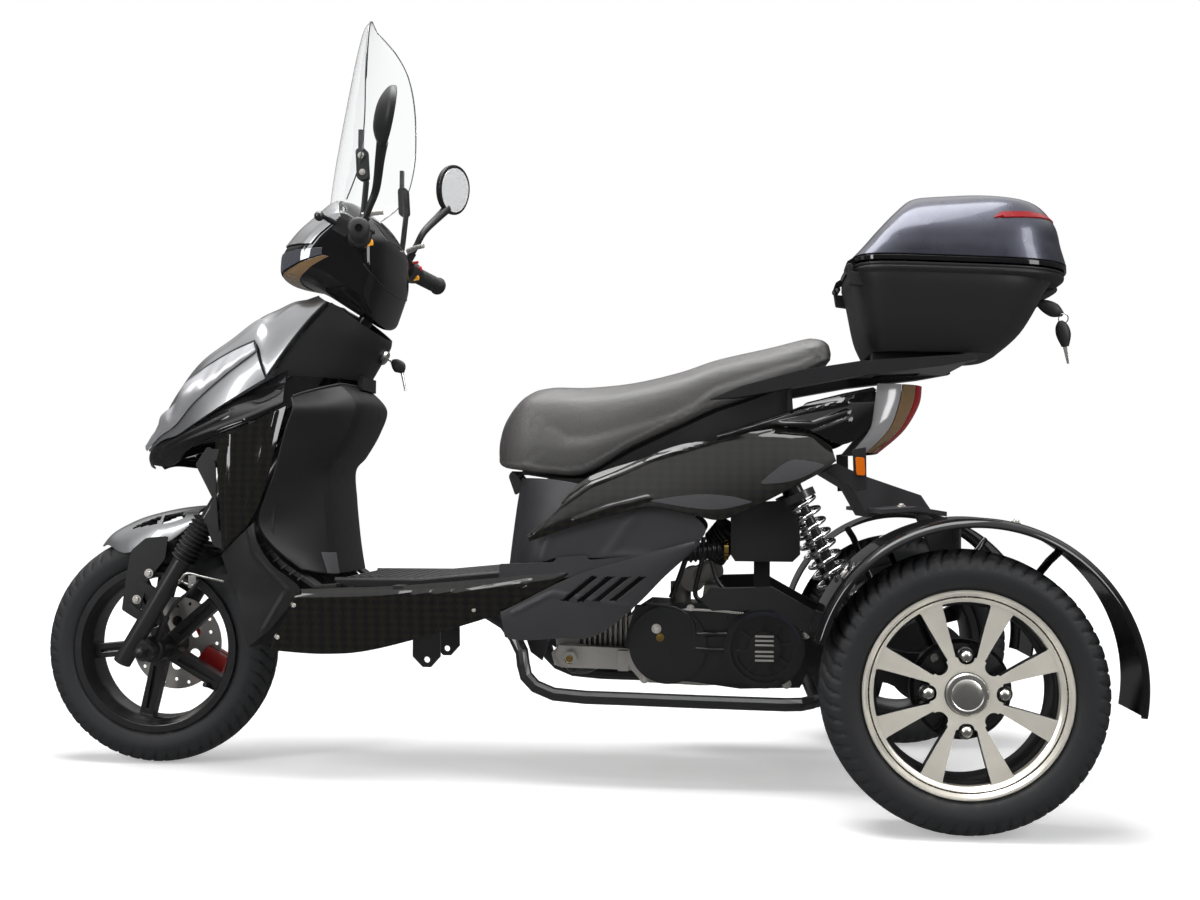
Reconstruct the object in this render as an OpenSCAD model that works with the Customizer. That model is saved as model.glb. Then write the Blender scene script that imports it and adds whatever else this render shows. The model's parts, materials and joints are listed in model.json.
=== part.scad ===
// Three-wheeled motor scooter with a single front wheel, two rear wheels and a top box.
// X points forward, Y to the rider's left and Z up. Inside the modules X and Z are
// measured from the middle of the rear axle, or from the front axle where at_front() is used.

/* [Wheels] */
// Distance between the front axle and the rear axle
wheelbase = 1518; // [1460:1:1580]
// Outer diameter of every tyre
tyre_od = 460; // [446:1:464]
// Diameter over the flanges of every rim
flange_d = 333; // [326:1:340]
// Width of the front tyre
front_tyre_w = 110; // [100:1:114]
// Width of each rear tyre
rear_tyre_w = 150; // [140:1:152]
// Distance between the middle planes of the rear tyres
rear_track = 810; // [800:1:840]
// Diameter of the front axle
front_axle_d = 15; // [12:1:17]
// Diameter of the rear stub axles
rear_axle_d = 30; // [25:1:34]
// Number of spokes of the front wheel
front_spokes = 5; // [3:1:6]
// Number of spokes of each rear wheel
rear_spokes = 8; // [8:1:8]
// Diameter of the brake disc
disc_d = 190; // [180:1:200]

/* [Steering] */
// Angle of the steering axis from upright, in degrees
rake = 30.5; // [29:0.5:32]
// Distance of the fork legs' line ahead of the front axle
leg_lead = 30; // [26:1:34]
// Distance of the fork legs' line ahead of the steering axis
yoke_offset = 45; // [40:1:50]
// Distance between the fork legs
leg_gap = 184; // [180:1:194]
// Diameter of the lower fork legs
leg_d = 35; // [32:1:38]
// Length of the handlebar from end to end
bar_length = 680; // [660:1:700]
// Diameter of the grips
grip_d = 34; // [32:1:37]
// Thickness of the windscreen
screen_t = 3; // [3:0.5:4]

/* [Body] */
// Wall of the moulded body panels
panel_t = 3.5; // [3:0.5:4]
// Width of the floorboard between its edges
floor_w = 330; // [320:1:340]
// Thickness of the floorboard
floor_t = 14; // [10:1:18]
// Diameter of the main frame tubes
tube_d = 30; // [26:1:32]
// Diameter of the lower guard tube
guard_d = 25; // [22:1:28]
// Radius of the centre stand's pivot hole
stand_hole_r = 6; // [5:0.5:7]

/* [Seat and box] */
// Wall of the top box
box_t = 4; // [3:0.5:5]
// Wall of the storage bucket under the seat
bucket_t = 3; // [2.5:0.5:4]

/* [Rear] */
// Wall of the rear mudguards
guard_t = 4; // [3:0.5:5]
// Gap between the rear tyres' tread and their mudguards
arch_gap = 32; // [30:1:36]
// Diameter of the wire of the shock absorbers' springs
wire_d = 8; // [7:0.5:9]
// Turns of each shock absorber's spring
spring_turns = 9; // [7:1:11]
// Distance between the plate holes across the vehicle
plate_hole_x = 146; // [140:1:150]
// Distance between the plate holes up the plate
plate_hole_z = 70; // [66:1:74]

/* [Hidden] */
$fn = 48;

gloss_black = [0.03, 0.03, 0.035];
gloss_grey = [0.16, 0.17, 0.2];
matte_black = [0.07, 0.07, 0.075];
matte_grey = [0.12, 0.12, 0.125];
rubber_black = [0.05, 0.05, 0.05];
bare_metal = [0.7, 0.7, 0.72];

axle_h = tyre_od / 2;
tyre_r = tyre_od / 2;
flange_r = flange_d / 2;
// Rear mudguards: middle of the arch, measured from the rear axle
arch_x = -14;
arch_z = 16;
arch_r = tyre_r + arch_gap;
mid_x = (wheelbase + tyre_r + arch_x - arch_r - guard_t) / 2;
// Running clearance of a wheel on its axle, and of a turning stem in its tube
axle_play = 0.05;
stem_play = 0.3;
eps = 0.3;
// Gap of a fixed piece beside the piece that carries it
seat_gap = 0.5;

// Every node is built from the rear axle and is placed here over the vehicle's middle
module part(c) {
  color(c) translate([-mid_x, 0, axle_h]) children();
}

module at_front() {
  translate([wheelbase, 0, 0]) children();
}

// Fork frame: from the front axle, local Z up along the steering axis, local X forward
module in_fork() {
  at_front() rotate([0, -rake, 0]) children();
}

module both_sides() {
  children();
  mirror([0, 1, 0]) children();
}

// Axis along Y for what turns on the axles
module about_y() {
  rotate([-90, 0, 0]) children();
}

// Slab with a side outline of [x, z] points between two lateral places
module slab(outline, y0, y1) {
  translate([0, y1, 0]) rotate([90, 0, 0]) linear_extrude(y1 - y0) polygon(outline);
}

function unit(v) = v / norm(v);
function flip_y(p) = [p[0], -p[1], p[2]];
function total(v) = [for (x = v) 1] * v;

// Polyhedron of triangles whose faces are turned to the outside
module closed_solid(pts, tris) {
  volumes = [for (f = tris) pts[f[0]] * cross(pts[f[1]], pts[f[2]])];
  polyhedron(pts, total(volumes) < 0 ? tris : [for (f = tris) [f[2], f[1], f[0]]]);
}

function band(i, n, m) = [for (j = [0:m - 1])
  let (a = i * n + j, b = i * n + (j + 1) % n, c = a + n, d = b + n) each [[a, b, d], [a, d, c]]];

// Solid through closed rings with the same number of points, with flat ends
module loft(rings) {
  n = len(rings[0]);
  m = len(rings);
  first = total(rings[0]) / n;
  last = total(rings[m - 1]) / n;
  pts = concat([for (r = rings) each r], [first, last]);
  walls = [for (i = [0:m - 2]) each band(i, n, n)];
  ends = [for (j = [0:n - 1])
    each [[j, m * n, (j + 1) % n], [(m - 1) * n + j, (m - 1) * n + (j + 1) % n, m * n + 1]]];
  closed_solid(pts, concat(walls, ends));
}

// Normal of a grid of points at row i and column j
function grid_normal(g, i, j) = unit(cross(
  g[min(i + 1, len(g) - 1)][j] - g[max(i - 1, 0)][j],
  g[i][min(j + 1, len(g[0]) - 1)] - g[i][max(j - 1, 0)]));

// Moulded wall: a grid of points and the same grid moved by t along its normals
module skin(g, t) {
  m = len(g);
  n = len(g[0]);
  inner = [for (i = [0:m - 1]) [for (j = [0:n - 1]) g[i][j] + t * grid_normal(g, i, j)]];
  pts = concat([for (r = g) each r], [for (r = inner) each r]);
  k = m * n;
  outside = [for (i = [0:m - 2]) each band(i, n, n - 1)];
  inside = [for (f = outside) [f[2] + k, f[1] + k, f[0] + k]];
  edge = concat(
    [for (j = [0:n - 2]) j],
    [for (i = [0:m - 2]) i * n + n - 1],
    [for (j = [n - 1:-1:1]) (m - 1) * n + j],
    [for (i = [m - 1:-1:1]) i * n]);
  q = len(edge);
  rim = [for (e = [0:q - 1]) let (a = edge[e], b = edge[(e + 1) % q])
    each [[b, a, a + k], [b, a + k, b + k]]];
  closed_solid(pts, concat(outside, inside, rim));
}

// Row of points on a curve from a to b that is drawn towards c
function bend(a, c, b, n) = [for (k = [0:n]) let (u = k / n)
  (1 - u) * (1 - u) * a + 2 * u * (1 - u) * c + u * u * b];

// Row across the vehicle from a half row that starts on the middle plane
function across(half) = concat([for (i = [len(half) - 1:-1:1]) flip_y(half[i])], half);

// Smooth curve through points, n steps to each span
function smooth(p, n) = concat([for (i = [0:len(p) - 2]) for (k = [0:n - 1])
  let (u = k / n, a = p[max(i - 1, 0)], b = p[i], c = p[i + 1], d = p[min(i + 2, len(p) - 1)])
  0.5 * (2 * b + (c - a) * u + (2 * a - 5 * b + 4 * c - d) * u * u
  + (3 * b - a - 3 * c + d) * u * u * u)], [p[len(p) - 1]]);

// Rings of a round tube of radius r along a path; ref is never along the path
function tube_rings(path, r, sides, ref) = [for (i = [0:len(path) - 1])
  let (t = unit(path[min(i + 1, len(path) - 1)] - path[max(i - 1, 0)]),
    u = unit(cross(t, ref)), v = cross(t, u))
  [for (k = [0:sides - 1]) path[i] + r * (cos(360 * k / sides) * u + sin(360 * k / sides) * v)]];

module tube(path, r, sides = 10, ref = [0, 1, 0]) {
  loft(tube_rings(path, r, sides, ref));
}

// Straight round bar between two points
module bar(a, b, r) {
  d = b - a;
  translate(a) rotate([0, acos(d[2] / norm(d)), atan2(d[1], d[0])]) cylinder(h = norm(d), r = r);
}

// Superellipse ring between two X limits; the ring's height runs from rear to front
function box_ring(x0, x1, hw, z0, z1, n = 28, e = 0.55) = [for (k = [0:n - 1])
  let (a = 360 * k / n, c = cos(a), s = sin(a), mx = (x0 + x1) / 2, ax = (x1 - x0) / 2,
    x = mx + ax * sign(c) * pow(abs(c), e))
  [x, hw * sign(s) * pow(abs(s), e), z0 + (z1 - z0) * (x - x0) / (x1 - x0)]];

// Wheels. Profiles are [radius, distance from the wheel's middle plane outwards].

// Round tyre with flat tread edges, carried on the flanges
module tyre(w) {
  bead = flange_r - 12;
  about_y() rotate_extrude() polygon([
    [bead, -w * 0.40], [flange_r + 1, -w * 0.40], [flange_r + 3, -w * 0.45],
    [flange_r + 22, -w * 0.5], [tyre_r - 26, -w * 0.5], [tyre_r - 12, -w * 0.44],
    [tyre_r - 3, -w * 0.28], [tyre_r, -w * 0.1], [tyre_r, w * 0.1],
    [tyre_r - 3, w * 0.28], [tyre_r - 12, w * 0.44], [tyre_r - 26, w * 0.5],
    [flange_r + 22, w * 0.5], [flange_r + 3, w * 0.45], [flange_r + 1, w * 0.40], [bead, w * 0.40],
    [bead, w * 0.34], [flange_r + 12, w * 0.34], [flange_r + 20, w * 0.4], [tyre_r - 26, w * 0.42],
    [tyre_r - 14, w * 0.3], [tyre_r - 10, 0], [tyre_r - 14, -w * 0.3], [tyre_r - 26, -w * 0.42],
    [flange_r + 20, -w * 0.4], [flange_r + 12, -w * 0.34], [bead, -w * 0.34]]);
}

// Barrel with bead seats that end eps below the tyre's beads
module barrel(w) {
  seat = flange_r - 12 - eps;
  lip = w * 0.40 + eps;
  in = w * 0.34 - eps;
  about_y() rotate_extrude() polygon([
    [seat, in], [seat, lip], [flange_r, lip], [flange_r, lip + 7], [flange_r - 14, lip + 7],
    [flange_r - 20, lip - 10], [flange_r - 26, in - 14], [flange_r - 26, -in + 14],
    [flange_r - 20, -lip + 10], [flange_r - 14, -lip - 7], [flange_r, -lip - 7], [flange_r, -lip],
    [seat, -lip], [seat, -in], [flange_r - 20, -in + 14], [flange_r - 20, in - 14]]);
}

front_hub_r = 27;
front_hub_l = 118;
// Front wheel: spokes in pairs of ribs, from the hub to the barrel
module front_rim() {
  part(matte_black) at_front() difference() {
    union() {
      barrel(front_tyre_w);
      about_y() cylinder(h = front_hub_l, r = front_hub_r, center = true);
      for (i = [0:front_spokes - 1]) rotate([0, i * 360 / front_spokes + 18, 0])
        front_spoke(flange_r - 24);
    }
    about_y() cylinder(h = front_hub_l + 2, r = front_axle_d / 2 + axle_play, center = true);
  }
}

// Spoke that leans along its length and carries a groove down the middle
module front_spoke(r) {
  difference() {
    slab([[-15, 20], [15, 20], [26, r], [-2, r]], -13, 13);
    slab([[-5, 42], [5, 42], [14, r - 14], [8, r - 14]], 6, 14);
    slab([[-5, 42], [5, 42], [14, r - 14], [8, r - 14]], -14, -6);
  }
}

module front_tyre() {
  part(rubber_black) at_front() tyre(front_tyre_w);
}

disc_y = -front_hub_l / 2 - 2.5;
// Drilled brake disc on the right end of the hub
module brake_disc() {
  holes = 20;
  part(bare_metal) at_front() translate([0, disc_y, 0]) about_y() difference() {
    cylinder(h = 4, r = disc_d / 2, center = true);
    cylinder(h = 6, r = front_axle_d / 2 + 6, center = true);
    for (i = [0:holes - 1]) rotate(i * 360 / holes)
      translate([disc_d / 2 - (i % 2 == 0 ? 10 : 20), 0, 0]) cylinder(h = 6, r = 3.5, center = true);
    for (i = [0:5]) rotate(i * 60 + 30) translate([45, 0, 0]) cylinder(h = 6, r = 11, center = true);
  }
}

rear_y = rear_track / 2;
rear_hub_r = 38;
rear_hub_in = 62;
rear_face = 52;
// Rear wheel: flared spokes between deep windows, hub open for the stub axle
module rear_rim() {
  r = flange_r - 26;
  difference() {
    union() {
      barrel(rear_tyre_w);
      translate([0, rear_face - 20, 0]) about_y() cylinder(h = 20, r = r + 2);
      translate([0, -rear_hub_in, 0]) about_y() cylinder(h = rear_hub_in + rear_face, r = rear_hub_r);
      translate([0, rear_face, 0]) about_y() cylinder(h = 7, r = 33);
      translate([0, rear_face + 7, 0]) about_y() cylinder(h = 3, r1 = 30, r2 = 20);
    }
    for (i = [0:rear_spokes - 1]) rotate([0, i * 360 / rear_spokes, 0]) spoke_window(r, i % 2 == 0);
    translate([0, -rear_hub_in - 1, 0]) about_y()
      cylinder(h = rear_hub_in + rear_face - 12, r = rear_axle_d / 2 + axle_play);
  }
  for (i = [0:3]) rotate([0, i * 90, 0]) translate([60, rear_face - 21, 0]) about_y() {
    cylinder(h = 8, r = 12);
    cylinder(h = 26, r = 9.5, $fn = 6);
  }
}

// Window between two spokes; every other one reaches in to a wheel nut
module spoke_window(r, deep) {
  inner = deep ? 70 : 58;
  slab([[-8, inner], [8, inner], [30, r - 34], [41, r - 4], [-41, r - 4], [-30, r - 34]],
    rear_face - 21, rear_face + 1);
}

module rear_left_rim() {
  part(bare_metal) translate([0, rear_y, 0]) rear_rim();
}

module rear_right_rim() {
  part(bare_metal) mirror([0, 1, 0]) translate([0, rear_y, 0]) rear_rim();
}

module rear_left_tyre() {
  part(rubber_black) translate([0, rear_y, 0]) tyre(rear_tyre_w);
}

module rear_right_tyre() {
  part(rubber_black) mirror([0, 1, 0]) translate([0, rear_y, 0]) tyre(rear_tyre_w);
}

// Fork and handlebar. Inside in_fork() heights run along the steering axis.
steer_x = leg_lead - yoke_offset;
leg_y = leg_gap / 2;
slider_low = -44;
slider_top = 190;
boot_top = 285;
yoke_s = 345;
stem_r = 15;
head_r = 26;
head_low = 395;
head_top = 560;
bar_s = 913;

module fork() {
  part(matte_black) in_fork() {
    both_sides() {
      translate([leg_lead, leg_y, slider_low]) cylinder(h = slider_top - slider_low, r = leg_d / 2);
      translate([leg_lead, leg_y, slider_top - 1]) cylinder(h = yoke_s - slider_top, r = 13);
      translate([0, leg_y - 12, 0]) about_y() cylinder(h = 24, r = 19);
      slab([[0, -15], [leg_lead, -19], [leg_lead, 22], [0, 18]], leg_y - 11, leg_y + 11);
      for (s = [52, 104]) slab([[leg_lead, s - 9], [leg_lead + 48, s - 9], [leg_lead + 56, s],
        [leg_lead + 48, s + 9], [leg_lead, s + 9]], fender_side + bracket_t + eps, leg_y);
    }
    about_y() cylinder(h = 2 * leg_y + 44, r = front_axle_d / 2, center = true);
    both_sides() translate([0, leg_y + 12, 0]) about_y() cylinder(h = 12, r = 12, $fn = 6);
    difference() {
      slab([[steer_x - 26, yoke_s], [leg_lead + 22, yoke_s], [leg_lead + 22, yoke_s + 22],
        [steer_x - 26, yoke_s + 22]], -leg_y - 20, leg_y + 20);
      both_sides() translate([leg_lead + 22, leg_y + 20, yoke_s - 1]) cylinder(h = 24, r = 14);
    }
    translate([steer_x, 0, yoke_s + 20]) cylinder(h = clamp_low - yoke_s - 24, r = stem_r);
    slab([[steer_x - 6, clamp_low - 14], [20, clamp_low - 14], [20, clamp_low], [steer_x - 6, clamp_low]],
      -22, 22);
  }
}

// Ribbed rubber boots over the fork's upper tubes
module fork_boots() {
  ribs = 9;
  pitch = (boot_top - slider_top - 1) / ribs;
  outline = [for (i = [0:ribs - 1]) each [[19, i * pitch], [25, (i + 0.35) * pitch], [25, (i + 0.65) * pitch]],
    [19, ribs * pitch], [13 + eps, ribs * pitch], [13 + eps, 0]];
  part(rubber_black) in_fork() both_sides()
    translate([leg_lead, leg_y, slider_top + eps]) rotate_extrude($fn = 32) polygon(outline);
}

module brake_caliper() {
  part([0.55, 0.05, 0.05]) in_fork() {
    translate([-disc_d / 2 + 14, disc_y, 0]) difference() {
      slab([[-32, -34], [16, -34], [22, 0], [16, 34], [-32, 34], [-38, 0]], -20, 20);
      slab([[-26, -50], [40, -50], [40, 50], [-26, 50]], -3.2, 3.2);
    }
    slab([[-68, 4], [leg_lead - leg_d / 2 + 3, 60], [leg_lead - leg_d / 2 + 3, 84], [-74, 30]],
      disc_y - 20, disc_y - 14);
  }
}

fender_stations = [
  // [x, height of the crown, half width, x of the side edge, height of the side edge]
  [126, 204, 14, 124, 201],
  [96, 232, 44, 98, 205],
  [52, 255, 64, 55, 191],
  [10, 268, 72, -5, 210],
  [-42, 279, 72, -42, 218],
  [-98, 285, 66, -88, 256]];
// Front mudguard with its pointed tip, and the side brackets that hold it to the fork legs
module front_fender() {
  rows = [for (s = smooth(fender_stations, 2))
    across(bend([s[0], 0, s[1]], [s[0], s[2], s[1]], [s[3], s[2] + 4, s[4]], 4))];
  part(gloss_grey) at_front() {
    difference() {
      skin(rows, -3);
      both_sides() rotate([0, 12, 0]) translate([70, 24, 150]) cube([34, 14, 120], center = true);
    }
    both_sides() slab(fender_bracket, fender_side - 2, fender_side + bracket_t);
  }
}

fender_side = 76;
bracket_t = 4;
fender_bracket = [[57, 78], [23, 66], [4, 140], [-30, 180], [-36, 226], [10, 222], [40, 196], [48, 150]];

// Handlebar tube over the stem inside the cover, swept back to the grips
bar_r = 11;
clamp_s = bar_s - 24;
clamp_low = clamp_s - bar_r - seat_gap;
grip_l = 118;
grip_in = [12, bar_length / 2 - grip_l, bar_s + 1];
// Half width of the handlebar cover between the switch housings
cover_half = grip_in[1] - 72;
grip_out = [-20, bar_length / 2, bar_s + 8];
grip_dir = unit(grip_out - grip_in);
bar_half = [grip_out - 4 * grip_dir, grip_in - 64 * grip_dir, [24, cover_half * 0.84, bar_s - 10],
  [16, cover_half * 0.6, bar_s - 19], [8, cover_half * 0.29, clamp_s]];
module handlebar() {
  far = [for (i = [4:-1:0]) flip_y(bar_half[i])];
  part(matte_black) in_fork() tube(concat(bar_half, far), bar_r, 12, [0, 0, 1]);
}

// Points local Z from a to b
module aim(a, b) {
  d = b - a;
  translate(a) rotate([0, acos(d[2] / norm(d)), atan2(d[1], d[0])]) children();
}

module grips() {
  l = norm(grip_out - grip_in);
  part(rubber_black) in_fork() both_sides() aim(grip_in, grip_out) difference() {
    union() {
      cylinder(h = l, r = grip_d / 2);
      cylinder(h = 5, r = grip_d / 2 + 4);
      translate([0, 0, l - 5]) cylinder(h = 5, r = grip_d / 2 + 3);
    }
    translate([0, 0, -1]) cylinder(h = l - 2.5, r = bar_r + seat_gap);
  }
}

// Side outline of the handlebar cover, [x, height] from the front axle, and its narrowing sections
cover_outline = [[-249, 736], [-252, 783], [-288, 828], [-362, 890], [-397, 893], [-445, 857],
  [-476, 806], [-477, 725], [-448, 640], [-390, 676], [-333, 712], [-300, 726]];
cover_sections = [
  // [share of the half width, size beside the middle section]
  [-1, 0.55], [-0.93, 0.68], [-0.63, 0.92], [0, 1], [0.63, 0.92], [0.93, 0.68], [1, 0.55]];
cover_core = [-420, 786];
cover_t = 4;
module cover_body(grow) {
  loft([for (s = cover_sections) [for (p = cover_outline)
    let (q = cover_core + s[1] * (p - cover_core), w = norm(q - cover_core))
    [cover_core[0] + (q[0] - cover_core[0]) * (w + grow) / w, s[0] * (cover_half + grow),
      cover_core[1] + (q[1] - cover_core[1]) * (w + grow) / w]]]);
}

module headset_cover() {
  part(gloss_black) difference() {
    at_front() cover_body(0);
    at_front() cover_body(-cover_t);
    in_fork() translate([steer_x, 0, 700]) cylinder(h = 110, r = 40);
    in_fork() both_sides() aim(bar_half[2], bar_half[1]) cylinder(h = 60, r = bar_r + seat_gap);
  }
}

module headset_lamp() {
  rows = [for (s = [[-241, 742, -253, 743], [-243, 762, -256, 762], [-248, 780, -261, 779]])
    across(bend([s[0], 0, s[1]], [s[0], cover_half * 0.4, s[1]], [s[2], cover_half * 0.59, s[3]], 4))];
  part([0.5, 0.35, 0.2, 0.6]) at_front() skin(rows, 2.5);
}

// Levers with ball ends, their perches and the switch housings
pod_l = 38;
pod = grip_in - (pod_l + 5) * grip_dir;
perch = pod + [6, 12, 40];
module controls() {
  part(matte_black) in_fork() both_sides() {
    difference() {
      union() {
        aim(pod, grip_in) cylinder(h = pod_l, r = 23);
        translate(pod + [14, -4, -14]) cube([30, 34, 28]);
        translate(perch - [0, 0, 30]) cylinder(h = 30, r = 9);
      }
      aim(pod - 10 * grip_dir, grip_in) cylinder(h = 90, r = bar_r + seat_gap);
    }
    tube([pod + [40, 20, 0], pod + [58, 44, -2], pod + [54, 90, -4], pod + [34, 148, -8]], 5.5, 8, [0, 0, 1]);
    translate(pod + [34, 148, -8]) sphere(r = 9, $fn = 24);
  }
}

// Point of the fork frame in the front axle's frame
function fork_point(p) = [p[0] * cos(rake) - p[2] * sin(rake), p[1], p[0] * sin(rake) + p[2] * cos(rake)];

// Mirrors on their bent stems
mirror_y = 300;
module mirrors() {
  part(matte_black) at_front() both_sides() {
    tube(smooth([fork_point(perch + [0, 0, 2 * eps]), fork_point(perch + [0, 0, 8]),
      fork_point(perch + [0, 0, 20]), [-480, 206, 884], [-500, 258, 926], [-512, 288, 950]], 2), 6, 8);
    translate([-519, mirror_y, 990]) rotate([0, -8, 22]) loft([for (s = [
      // [place through the head's thickness, size]
      [-10, 0.9], [-7, 1], [4, 0.92], [14, 0.6], [19, 0.25]])
      [for (k = [0:15]) let (a = k * 22.5) [s[0], s[1] * 66 * cos(a), s[1] * 50 * sin(a)]]]);
  }
}

screen_stations = [
  // [height, x on the middle plane, half width, x of the edge]
  [884, -340, 120, -400],
  [940, -352, 176, -440],
  [1017, -370, 204, -456],
  [1100, -390, 208, -458],
  [1165, -404, 192, -456],
  [1215, -415, 150, -450],
  [1240, -421, 96, -440],
  [1248, -424, 30, -428]];
module windscreen() {
  rows = [for (s = smooth(screen_stations, 1))
    across(bend([s[1], 0, s[0]], [s[1], s[2] * 0.75, s[0]], [s[3], s[2], s[0]], 5))];
  part([0.8, 0.85, 0.9, 0.3]) at_front() skin(rows, screen_t);
}

module screen_stays() {
  part(matte_black) at_front() both_sides() {
    tube([[-438, cover_half + 10, 810.5], [-444, cover_half + 10, 850], [-449, 162, 905],
      [-441, 164, 958]], 6, 8);
    translate([-443, 159, 952]) cube([8, 11, 54]);
  }
}

// Front body
nose_rows = [
  // [x and height on the middle plane, x, y and height of the edge]
  [29, 378, 26, 20, 374],
  [19, 419, 12, 44, 404],
  [-5, 477, -28, 70, 450],
  [-43, 532, -68, 95, 490],
  [-94, 583, -111, 120, 540],
  [-157, 628, -171, 130, 577],
  [-208, 669, -229, 137, 602],
  [-240, 686, -258, 158, 538],
  [-271, 699, -297, 150, 598],
  [-300, 702, -336, 142, 650],
  [-323, 704, -365, 132, 683]];
module nose_fairing() {
  rows = [for (s = nose_rows)
    across(bend([s[0], 0, s[1]], [s[0] - 8, s[3] * 0.8, s[1]], [s[2], s[3], s[4]], 4))];
  part(gloss_grey) at_front() skin(rows, panel_t);
}

lens_rows = [
  // [x, y, height of the upper edge, x, y, height of the lower edge]
  [14, 50, 404.4, 12, 60, 394],
  [-29, 72, 449.4, -30, 101, 414],
  [-69, 97, 489.4, -75, 133, 424],
  [-112, 122, 538.4, -120, 156, 447],
  [-172, 132, 575.4, -190, 168, 489],
  [-229, 139, 600.4, -258, 164, 531]];
module headlamps() {
  part([0.85, 0.9, 0.92, 0.5]) at_front() both_sides() {
    rows = [for (s = lens_rows) let (a = [s[0], s[1], s[2]], b = [s[3], s[4], s[5]])
      bend(a, (a + b) / 2 + [8, 10, 8], b, 4)];
    skin(rows, -panel_t);
  }
}

band_rows = [
  // [x, y, height of the upper edge, x, y, height of the lower edge]
  [24, 22, 371.4, 16, 22, 362],
  [8, 61, 392.4, 3, 60, 368],
  [-31, 102, 412.4, -40, 95, 364],
  [-76, 134, 422.4, -75, 130, 372],
  [-121, 157, 445.4, -110, 162, 396],
  [-191, 170, 486.4, -161, 188, 416],
  [-262, 167, 528.4, -240, 204, 444],
  [-300, 176, 545, -316, 226, 480]];
shroud_rows = [
  // [x, y, height of the front edge, x, y, height of the rear edge]
  [-173, 194, 408, -322, 234, 474],
  [-178, 200, 370, -312, 238, 430],
  [-183, 203, 336, -303, 238, 393],
  [-187, 205, 298, -290, 236, 345],
  [-189, 204, 262, -276, 232, 300],
  [-190, 200, 230, -252, 224, 258],
  [-189, 196, 200, -204, 202, 212]];
inlay = [[-132, 366], [-155, 400], [-170, 392], [-174, 300], [-180, 240], [-150, 257], [-168, 299]];
inlay_y = 184;
module front_shrouds() {
  part(gloss_black) at_front() both_sides() {
    skin([for (s = band_rows) let (a = [s[0], s[1], s[2]], b = [s[3], s[4], s[5]])
      bend(a, (a + b) / 2 + [4, 6, 0], b, 3)], -panel_t);
    skin([for (s = shroud_rows) let (a = [s[0], s[1], s[2]], b = [s[3], s[4], s[5]])
      bend(a, (a + b) / 2 + [0, 10, 0], b, 4)], -panel_t);
    slab(inlay, inlay_y, inlay_y + 3);
    slab([[-168, 396], [-190, 392], [-190, 372], [-168, 372]], inlay_y, inlay_y + 16);
    slab([[-246, 434], [-262, 434], [-262, 446], [-246, 446]], 200, 217);
  }
}

fairing_rows = [
  // [x, y, height of the front edge, x, y, height of the rear edge]
  [-187, 190, 195.2, -262, 226, 258.2],
  [-205, 198, 155, -268, 226, 222],
  [-221, 204, 130, -296, 220, 178],
  [-229, 206, 105, -344, 208, 136],
  [-236, 205, 70, -326, 204, 104],
  [-244, 200, 24, -284, 200, 54]];
well_rows = [
  // [height, x on the middle plane, x and y of the edge]
  [24, -262, -246, 199], [70, -262, -238, 203], [105, -262, -231, 204], [130, -262, -223, 202],
  [155, -260, -207, 196], [193, -258, -189, 188], [236, -258, -216, 198]];
// Lower front panels, and the wall behind the front wheel
module lower_fairings() {
  part(matte_black) at_front() {
    both_sides() skin([for (s = fairing_rows) let (a = [s[0], s[1], s[2]], b = [s[3], s[4], s[5]])
      bend(a, (a + b) / 2 + [0, 8, 0], b, 3)], -panel_t);
    skin([for (s = well_rows) across(bend([s[1], 0, s[0]], [s[1], 120, s[0]], [s[2], s[3], s[0]], 4))],
      panel_t);
  }
}

shield_rows = [
  // [x on the middle plane, height there, x at the shoulder, height, x at the edge, y, height]
  [-406, 524, -340, 510, -326, 214, 492],
  [-438, 486, -380, 476, -334, 230, 468],
  [-424, 437, -366, 437, -322, 232, 430],
  [-396, 388, -352, 388, -312, 232, 390],
  [-374, 359, -342, 350, -300, 230, 345],
  [-377, 300, -334, 300, -284, 228, 306],
  [-382, 250, -338, 252, -272, 224, 256],
  [-388, 203, -348, 206, -298, 216, 214],
  [-396, 158, -366, 162, -350, 206, 172]];
column_rows = [
  // [height of the front edge, its x and y, rear height, rear x]
  [682, -374, 127, 622, -456],
  [640, -340, 138, 606, -454],
  [590, -300, 146, 574, -436],
  [538, -268, 152, 536, -414]];
// Inner shield in front of the rider's legs, and the cover round the steering column
module leg_shield() {
  part(matte_black) at_front() {
    skin([for (s = shield_rows) across(concat(
      bend([s[0], 0, s[1]], [s[0], 60, s[1]], [s[0] + 8, 96, s[1]], 2),
      bend([s[0] + 16, 112, s[1]], [s[2], 150, s[3]], [s[4], s[5], s[6]], 3)))], panel_t);
    skin([for (s = column_rows) across(
      bend([s[4], 0, s[3]], [s[4], 110, s[3]], [s[1], s[2], s[0]], 5))], panel_t);
    slab([[-418, 518], [-406, 518], [-406, 545], [-418, 545]], -50, 50);
  }
}

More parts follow.
